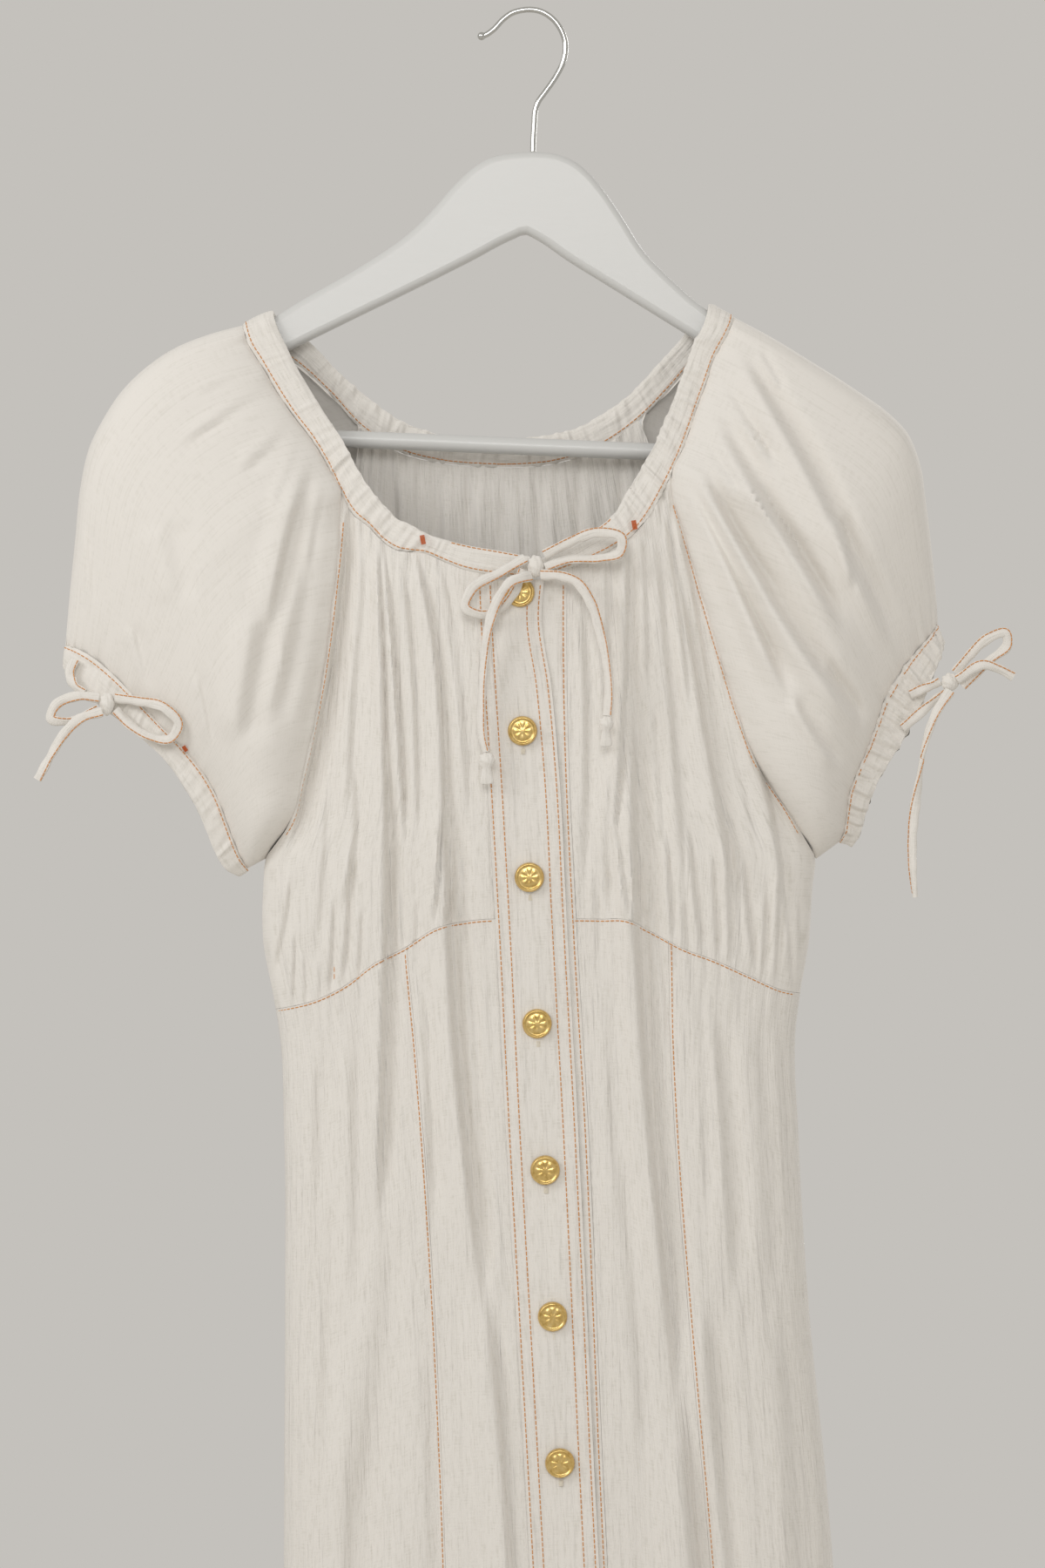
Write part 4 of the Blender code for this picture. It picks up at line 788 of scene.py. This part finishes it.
def ruched(seam, free, thick, spacing, sections, fullness, closed=False):
    """A flattened tube between two edges, drawn up into uneven ridges that run across it: each
    has a place, slant, width, height and reach of its own. `fullness` scales them along it."""
    share = np.arange(sections) / sections if closed else np.linspace(0, 1, sections)
    a, b = along(seam)(share), along(free)(share)
    middle, wide = (a + b) / 2, (b - a) / 2
    run = np.gradient(middle, axis=0)
    if closed:
        run = np.roll(middle, -1, axis=0) - np.roll(middle, 1, axis=0)
    thin = np.cross(run, wide)
    thin /= np.linalg.norm(thin, axis=1)[:, None]
    turn = np.linspace(0, math.tau, CASING_SIDES + 1)[None, :]
    width_at = np.sign(np.cos(turn)) * np.abs(np.cos(turn)) ** 0.7
    face = np.sign(np.sin(turn))
    length = run_length(middle)
    at = share[:, None] * length
    amount = fullness(share)[:, None]
    chance = np.random.default_rng(7)
    swell = np.zeros((sections, CASING_SIDES + 1))
    for i in range(int(length / spacing)):
        where = (i + chance.uniform(0.2, 0.8)) * spacing
        slant = chance.normal(0, 0.0014)
        broad = chance.uniform(0.0013, 0.0026)
        high = chance.uniform(0.3, 1.1)
        middle_at = chance.uniform(-1, 1)
        reach = chance.uniform(0.7, 1.8)
        which = chance.choice((-1, 1))
        ridge = np.exp(-((at - where - slant * width_at) / broad) ** 2
                       - ((width_at - middle_at) / reach) ** 2)
        swell += high * ridge * np.where(face * which >= 0, 1.0, 0.6)
    lift = amount * (0.0030 * swell - 0.0013) * np.abs(np.sin(turn)) ** 0.5
    edge = 1 + amount * 0.10 * (swell - 0.4) * (np.abs(width_at) > 0.9)
    points = (middle[:, None] + wide[:, None] * (width_at * edge)[..., None]
              + thin[:, None] * (np.sin(turn) * thick / 2 + face * lift)[..., None])
    return np.concatenate([points, points[:1]], axis=0) if closed else points


neck_seam_points, neck_free_points = (
    place(NECK_ROWS[:, i], NECK_ROWS[:, i + 1], NECK_ROWS[:, 4] * 0.001) for i in (0, 2))
NECK_FULLNESS = line([
    (0.00, 0.0), (0.055, 0.0), (0.085, 1.0), (0.17, 1.0), (0.22, 0.35), (0.29, 0.2), (0.34, 0.4),
    (0.40, 0.9), (0.60, 0.9), (0.70, 0.5), (0.76, 0.5), (0.80, 0.9), (0.86, 1.2), (0.93, 1.0),
    (0.95, 0.0), (1.00, 0.0),
])
neck_rings = ruched(neck_seam_points, neck_free_points, NECK_THICK, NECK_RIDGES, NECK_SECTIONS,
                    NECK_FULLNESS)
dress_piece("neck_casing", neck_rings, CASING_GAUZE, (0.020, 0.90),
            rests_on="hanger_board_wood", wrap=True, caps=True)
casing_edges = [neck_rings[:, FRONT_ROW], neck_rings[:, BACK_ROW],
                neck_rings[7:79, FREE_ROW], neck_rings[-79:-7, FREE_ROW]]
for side, cuff in (("left", CUFF_LEFT), ("right", CUFF_RIGHT)):
    rows = np.array(cuff, float)
    deep = CUFF_HALF_DEPTH * np.sin(np.pi * np.linspace(0, 1, len(rows))) ** 0.7
    loops = []
    for first in (0, 2):
        ahead = place(rows[:, first], rows[:, first + 1], -deep)
        behind = place(rows[:, first], rows[:, first + 1], deep)
        ring = np.vstack([ahead, behind[-2:0:-1]])
        loops.append(np.vstack([ring, ring[:1]]))
    full = 1.5 if side == "right" else 0.45
    cuff_rings = ruched(*loops, CUFF_THICK, CUFF_RIDGES, CUFF_SECTIONS,
                        lambda share: full + 0 * share, closed=True)
    dress_piece(f"cuff_{side}", cuff_rings, CASING_GAUZE, (0.016, 0.60), wrap=True)
    casing_edges.append(cuff_rings[:, FRONT_ROW if side == "left" else BACK_ROW])

# Button bands. Straight strips of gauze, doubled and stitched flat down both long edges: the
# upper one carries the buttonholes and laps over the under band, which carries the buttons.
BAND_LIFT, BAND_TOP_V, BAND_ROWS = 0.0016, 665.5, 420
BAND_GAUZE = gauze("pressed_gauze", crinkle_mm=2.2, relief=0.7)


def band_lift(u, v, left, right):
    """How far a band stands off the body at u, v: its own ripples, tightest at the stitching."""
    s = (u - left(v)) / (right(v) - left(v))
    pucker = 0.00025 * np.sin(v / 2.6 + 2 * np.sin(v / 37)) * (np.exp(-s / 0.12)
                                                            + np.exp(-(1 - s) / 0.12))
    return pucker + 0.0005 * np.sin(v / 61 + 4 * s) * ease(3 * s) * ease((v - 690) / 60)


def band(left, right, columns, lift):
    u, v = panel_marks(left, right, lambda u: BAND_TOP_V + 0 * u, None, columns, BAND_ROWS,
                       "front")
    return place(u, v, body_depth(u, v, "front", lift + band_lift(u, v, left, right)))


for name, left, right, columns, lift in (
    ("button_band_top", BAND_LEFT, BAND_RIGHT, 20, BAND_LIFT),
    ("button_band_under", inset(BAND_LEFT, UNDER_GAP), inset(UNDER_RIGHT, -SEAM), 12, 0.0),
):
    dress_piece(name, band(left, right, columns, lift), BAND_GAUZE, (0.042, 1.02), 0.040,
                held="hung", wall=CLOTH)

# Knots. Where the ties are tied, and the small knots near their ends: the tie wound round
# itself, pulled tight. KNOTS gives u, v, depth and half sizes in millimetres.
KNOTS = {
    "neck_tie_knot": (615, 650, -45.2, 4.8, 3.6, 6.0),
    "neck_tie_end_right": (696, 831, -53, 4.0, 3.2, 4.4),
    "neck_tie_end_left": (559, 873, -52, 4.4, 3.2, 4.6),
    "cuff_tie_left_knot": (123, 808, -22, 4.2, 4.0, 6.4),
    "cuff_tie_right_knot": (1091, 783, -22, 5.0, 4.0, 5.0),
}
KNOT_UV = 0.024


def ball(name, segments, rings):
    """A ball 1 m in radius, and its points as three rows x, y, z."""
    bpy.ops.mesh.primitive_uv_sphere_add(segments=segments, ring_count=rings, radius=1.0)
    made = bpy.context.object
    made.name = made.data.name = name
    points = np.zeros(3 * len(made.data.vertices), dtype=np.float32)
    made.data.vertices.foreach_get("co", points)
    return made, points.reshape(-1, 3).T


def shaped(made, points, finish):
    made.data.vertices.foreach_set("co", points.reshape(-1).astype(np.float32))
    made.data.materials.append(finish)
    made.data.shade_smooth()


for name, (u, v, y, *half) in KNOTS.items():
    knot, (x, deep, z) = ball(name + "_cloth", 40, 28)
    wrap_phase = 5.2 * z + 1.7 * x + 0.9 * deep
    swell = 1 + 0.09 * np.abs(np.sin(wrap_phase)) + 0.04 * np.sin(9 * x + 4 * z) - 0.03
    if "end" in name:
        # The tie's end sticks out below the knot, flat and flaring to its cut edge.
        down = np.clip((-0.45 - z) / 0.55, 0, 1)
        flare = (0.52 + 0.30 * ease(down / 0.9)) / np.sqrt(np.maximum(1 - z * z, 0.02))
        x = np.where(down > 0, x * (1 + (flare - 1) * ease(6 * down)), x)
        deep = deep * (1 - 0.45 * ease(4 * down))
        z = z - 1.75 * down
    points = place(u, v, 0.001 * y) + np.stack([x, deep, z], axis=-1) * (
        swell[:, None] * 0.001 * np.array(half))
    shaped(knot, points, TIE_GAUZE)
    mapped = np.zeros(2 * len(knot.data.loops), dtype=np.float32)
    knot.data.uv_layers[0].data.foreach_get("uv", mapped)
    knot.data.uv_layers[0].data.foreach_set("uv", mapped * KNOT_UV)
    settle(knot, name)

# Buttons. Eleven cast shank buttons of antiqued yellow metal, 17 mm across, domed, with a
# raised rim and a plain eight-petalled flower in relief.
BUTTON_RADIUS, BUTTON_THICK, BUTTON_SUNK = 0.0085, 0.0036, 0.0006
BUTTON_V = [680] + [839 + 168.1 * i for i in range(10)]
BUTTON_U = line([
    (600, 590), (680, 597), (839, 600), (1010, 608), (1345, 626), (1680, 643), (2600, 690),
])
BRASS, brass = surface("antiqued_brass", {"Metallic": 1.0, "Roughness": 0.3})
where = node(BRASS, "ShaderNodeTexCoord")
patches = node(BRASS, "ShaderNodeTexNoise", {"Scale": 420.0, "Detail": 4.0},
               {"Vector": where.outputs["Object"]})
tint = ramp(BRASS, patches.outputs["Fac"], [(0.25, "C4A05A"), (0.5, "E2C27C"), (0.8, "EDD295")])
BRASS.node_tree.links.new(tint.outputs["Color"], brass.inputs["Base Color"])

for number, v in enumerate(BUTTON_V, start=1):
    u, name = float(BUTTON_U(v)), f"button_{number:02d}"
    reach = BUTTON_RADIUS / UNIT
    rim = [body_depth(np.array(u + du), np.array(v + dv), "front", BAND_LIFT)
           for du in (-reach, 0, reach) for dv in (-reach, 0, reach)]
    seat = float(np.min(rim)) - BUTTON_SUNK
    button, (x, y, z) = ball(name + "_metal", 48, 32)
    polar, turn = np.arccos(np.clip(z, -1, 1)), np.arctan2(y, x)
    front_face = polar < np.pi / 2
    r = np.where(front_face, np.sin(polar) ** 0.75, np.sin(polar))
    dome = 0.62 + 0.10 * (1 - r**2)
    petals = 0.10 * np.abs(np.cos(4 * turn)) ** 0.6
    petals *= ease((r - 0.22) / 0.1) * ease((0.68 - r) / 0.1)
    boss = 0.16 * ease((0.2 - r) / 0.08)
    ring = 0.30 * np.exp(-((r - 0.86) / 0.065) ** 2)
    high = np.where(front_face, (dome + petals + boss + ring) * ease((1.0 - r) / 0.07 + 0.25),
                    0.12 * np.sin(np.pi * (1 - r) / 2))
    points = np.stack([np.cos(turn) * r * BUTTON_RADIUS, -high * BUTTON_THICK,
                       np.sin(turn) * r * BUTTON_RADIUS], axis=-1) + place(u, v, seat)
    shaped(button, points, BRASS)
    settle(button, name)

# Stitching. Lockstitch in rust-brown thread, some 3 mm to the stitch, along every seam, the
# casings, the bands and the ties' edges, with orange bar tacks where the casings stop and a
# bar of ivory thread at the foot of each buttonhole. Each stitch is a short arched tube.
STITCH, STITCH_PITCH, THREAD_RADIUS = 0.0022, 0.0030, 0.00030


def thread(name, colour):
    return surface(name, {"Base Color": linear(colour), "Roughness": 0.6,
                          "Sheen Weight": 0.1})[0]


RUST, ORANGE = thread("rust_brown_thread", "D6934F"), thread("orange_thread", "C8622A")
IVORY = thread("ivory_thread", "E4DDCF")


def curve_mesh(name, data, finish):
    """A finished curve as a mesh object."""
    made = bpy.data.objects.new(name, data)
    bpy.context.scene.collection.objects.link(made)
    bpy.context.view_layer.objects.active = made
    made.select_set(True)
    bpy.ops.object.convert(target="MESH")
    made = bpy.context.object
    made.data.materials.clear()
    made.data.materials.append(finish)
    return made


def wires(name, runs, radius, resolution, finish):
    """One mesh of round wires with closed ends, each through a run of points."""
    data = bpy.data.curves.new(name, "CURVE")
    data.dimensions = "3D"
    data.bevel_depth, data.bevel_resolution, data.use_fill_caps = radius, resolution, True
    for points in runs:
        spline = data.splines.new("POLY")
        spline.points.add(len(points) - 1)
        for mark, point in zip(spline.points, points):
            mark.co = (*point, 1.0)
    made = curve_mesh(name, data, finish)
    made.data.shade_smooth()
    return made


def sew(name, paths, finish, stitch=STITCH, pitch=STITCH_PITCH, arch=0.0003, out=(0, -1, 0)):
    """Stitches along paths of points on the cloth, as one mesh."""
    stitches = []
    for path in paths:
        count = max(int(run_length(path) / pitch), 1)
        share = stitch / pitch
        starts = (np.arange(count)[:, None] + np.array([0, share / 2, share])[None, :]) / count
        ends = along(path)(starts)
        ends[:, 1] += arch * np.array(out)
        stitches.extend(ends)
    settle(wires(name, stitches, THREAD_RADIUS, 0, finish))


def steps(first, last):
    """Marks along the drawing, 1.5 units apart."""
    return np.linspace(first, last, int((last - first) / 1.5))


def on_body(seam, start, stop, face="front", shift=0.0):
    """A line of marks down a seam u(v), on the body's surface."""
    v = steps(start, stop)
    u = seam(v) + shift
    return place(u, v, body_depth(u, v, face, CLOTH / 2))


def on_waist(start, stop, face="front"):
    u = steps(start, stop)
    v = (EMPIRE_FRONT if face == "front" else EMPIRE_BACK)(u) + WAIST_SEWN
    return place(u, v, body_depth(u, v, face, CLOTH / 2))


def on_band(seam, shift, left, right, lift):
    v = steps(BAND_SEWN_V, HEM_V)
    u = seam(v) + shift
    lift = lift + band_lift(u, v, left, right) + CLOTH / 2
    return place(u, v, body_depth(u, v, "front", lift))


WAIST_SEWN, BAND_SEWN_V, HEM_V = 2.5, 672, 2590
top_band = (BAND_LEFT, BAND_RIGHT, BAND_LIFT)
under_band = (inset(BAND_LEFT, UNDER_GAP), UNDER_RIGHT, 0.0)
sew("band_stitching", [
    on_band(BAND_LEFT, 4, *top_band), on_band(BAND_LEFT, 16, *top_band),
    on_band(BAND_RIGHT, -17, *top_band), on_band(BAND_RIGHT, -4, *top_band),
    on_band(UNDER_RIGHT, -4, *under_band)], RUST)


sew("seam_stitching", [
    on_waist(320, 566), on_waist(660, 911),
    on_body(PRINCESS_LEFT, 1096, HEM_V, shift=-3), on_body(PRINCESS_RIGHT, 1086, HEM_V, shift=3),
    on_body(RAGLAN_FRONT_LEFT, 600, 960, shift=4), on_body(RAGLAN_FRONT_RIGHT, 580, 958, shift=-4),
    on_body(line([(1000, 384), (1200, 384)]), 1110, 1126)], RUST)
sew("back_stitching", [
    on_waist(323, 908, "back"), on_body(RAGLAN_BACK_LEFT, 530, 960, "back", shift=4),
    on_body(RAGLAN_BACK_RIGHT, 530, 958, "back", shift=-4)], RUST, out=(0, 1, 0))
sew("casing_stitching", casing_edges, RUST)
sew("tie_stitching", tie_edges, RUST, pitch=0.0027, arch=0.0001)


def bar_tack(u, v, y, across_u, across_v, count):
    """Close parallel stitches that cross a seam."""
    half = 0.5 * np.array([across_u, across_v])
    run = np.array([-across_v, across_u]) / math.hypot(across_u, across_v)
    rows = []
    for i in range(count):
        at = np.array([u, v]) + run * 1.1 * (i - count / 2)
        rows.append(place(*np.array([at - half, at + half]).T, y))
    return rows


tacks = (bar_tack(485, 620, -0.0390, 2, 11, 5) + bar_tack(728, 603, -0.0346, 2, 11, 5)
         + bar_tack(212, 860, -0.0215, 4, 6, 4))
sew("bar_tacks", tacks, ORANGE, stitch=0.0055, pitch=0.0058)
feet = []
for v in BUTTON_V[1:]:
    u = float(BUTTON_U(v + 26))
    y = float(body_depth(np.array(u), np.array(v + 26.0), "front", BAND_LIFT)) - CLOTH / 2
    feet += bar_tack(u, v + 24, y, 5, 0, 6)
sew("buttonhole_ends", feet, IVORY, pitch=0.0023)

# Hanger. A board cut to a shoulder shape, its edges rounded over, with a round trouser bar
# across its ends, all painted white with a satin finish, and a bent chromed steel wire hook
# whose end is upset into a small ball.
WOOD = [
    (612, 175), (585, 177), (560, 183), (540, 196), (520, 215), (500, 238), (480, 259),
    (460, 276), (440, 290), (400, 315), (345, 346), (316, 364), (279, 383.5), (240, 403),
    (205, 418), (183, 430), (170, 443), (163, 462), (161, 488), (164, 504), (174, 513),
    (188, 514), (198, 508), (200, 498), (200, 482), (208, 468), (240, 449), (331, 403),
    (400, 369), (470, 335), (540, 300), (590, 274), (603, 269), (616, 275), (650, 298),
    (700, 329), (750, 360), (800, 391), (850, 422), (900, 453), (960, 491), (990, 508),
    (1003, 518), (1003, 530), (1004, 541), (1012, 549), (1026, 549), (1036, 540), (1038, 526),
    (1033, 508), (1021, 491), (1005, 475), (985, 463), (930, 429), (880, 399), (842, 376),
    (808, 354), (770, 321), (740, 290), (715, 251), (690, 215), (675, 198), (658, 185),
    (636, 177),
]
HOOK = [
    (552, 42), (558, 40), (566, 34.5), (578, 22), (588, 15), (598, 12), (607, 11), (617, 12),
    (627, 16), (637, 24), (645, 36), (649, 48), (649, 61), (646, 73), (640, 85), (633, 96),
    (625, 107), (618, 117), (614.5, 128), (613.5, 142), (612.5, 158), (612, 174),
]
BAR_START, BAR_END = (201.3, 496), (1001.7, 529)
WOOD_HALF, WOOD_ROUND, BAR_RADIUS, WIRE_RADIUS = 0.006, 0.004, 0.005, 0.0017
HOOK_END, BALL_RADIUS, HARD_EDGE = (553, 41.5), 0.0024, math.radians(40)

PAINT, paint = surface("satin_white_paint_on_wood", {
    "Base Color": linear("D0D0CE"), "Roughness": 0.38, "Coat Weight": 0.15})
where = node(PAINT, "ShaderNodeTexCoord")
strokes = noise(PAINT, where.outputs["Object"], (60, 300, 300), Detail=3.0)
PAINT.node_tree.links.new(bump(PAINT, strokes, 0.12, 0.0006), paint.inputs["Normal"])
CHROME, _ = surface("chromed_steel_wire", {
    "Base Color": linear("C9C9C6"), "Metallic": 1.0, "Roughness": 0.16})

data = bpy.data.curves.new("hanger_board_wood", "CURVE")
data.dimensions, data.fill_mode = "2D", "BOTH"
data.extrude, data.bevel_depth = WOOD_HALF - WOOD_ROUND, WOOD_ROUND
data.offset, data.bevel_resolution = -WOOD_ROUND, 5
spline = data.splines.new("POLY")
outline_marks = along(WOOD + WOOD[:1])(np.linspace(0, 1, 301))[:-1]
spline.points.add(len(outline_marks) - 1)
for mark, (u, v) in zip(spline.points, outline_marks):
    x, _, z = place(u, v, 0.0)
    mark.co = (x, z, 0.0, 1.0)
spline.use_cyclic_u = True
board = curve_mesh("hanger_board_wood", data, PAINT)
board.rotation_euler = (math.radians(90), 0, 0)
bpy.ops.object.transform_apply(rotation=True)
board.data.shade_smooth()
bpy.ops.object.shade_smooth_by_angle(angle=HARD_EDGE)
board.select_set(False)
bar = wires("hanger_bar_wood", [[place(u, v, 0.0) for u, v in (BAR_START, BAR_END)]],
            BAR_RADIUS, 10, PAINT)
bpy.ops.object.shade_smooth_by_angle(angle=HARD_EDGE)
bar.select_set(False)
hook_marks = np.array(HOOK, float)
hook_path = along(place(hook_marks[:, 0], hook_marks[:, 1], 0.0))(np.linspace(0, 1, 140))
hook = wires("hanger_hook_wire", [hook_path], WIRE_RADIUS, 6, CHROME)
hook.select_set(False)
bpy.ops.mesh.primitive_uv_sphere_add(segments=28, ring_count=18, radius=BALL_RADIUS,
                                     location=place(*HOOK_END, 0.0))
tip = bpy.context.object
bpy.ops.object.transform_apply(location=True)
tip.name, tip.data.name = "hanger_hook_ball", "hanger_hook_ball"
tip.data.materials.append(CHROME)
tip.data.shade_smooth()
settle(board, "hanger_board")
settle(bar, "hanger_bar")
settle(hook, "hanger_hook")
settle(tip)

# Light. Soft daylight from a window at the upper left, light from behind at the upper right that
# shines along the edges, and the pale light that a room throws back from the front.
for name, location, size, energy, aim in (
    ("window", (-1.7, -1.3, 0.6), 1.0, 13.0, (0.0, 0.0, -0.55)),
    ("rear", (1.6, 2.2, 0.6), 1.2, 22.0, (0.0, 0.0, -0.6)),
    ("bounce", (-0.2, -2.8, 0.6), 1.0, 20.0, (0.0, 0.0, -0.5)),
):
    lamp = bpy.data.lights.new(name, "AREA")
    lamp.shape, lamp.size, lamp.energy = "SQUARE", size, energy
    holder = bpy.data.objects.new(name, lamp)
    holder.location = location
    holder.rotation_euler = (Vector(aim) - Vector(location)).to_track_quat("-Z", "Y").to_euler()
    bpy.context.scene.collection.objects.link(holder)
world = bpy.data.worlds.new("room")
world.use_nodes = True
world.node_tree.nodes["Background"].inputs["Color"].default_value = linear("C4C1BC")
bpy.context.scene.world = world
bpy.context.scene.view_settings.view_transform = "Standard"

# Floor. A plain pale floor, matt, some way below the hem, so that the dress hangs clear of it
# and its shadow falls softly.
FLOOR_SIZE, FLOOR_Z = 3.6, -1.42
bpy.ops.mesh.primitive_plane_add(size=FLOOR_SIZE, location=(0, 0, FLOOR_Z))
floor = bpy.context.object
floor.name = "floor"
pale, _ = surface("matt_pale_floor", {"Base Color": linear("D8D5CF"), "Roughness": 0.9})
floor.data.materials.append(pale)
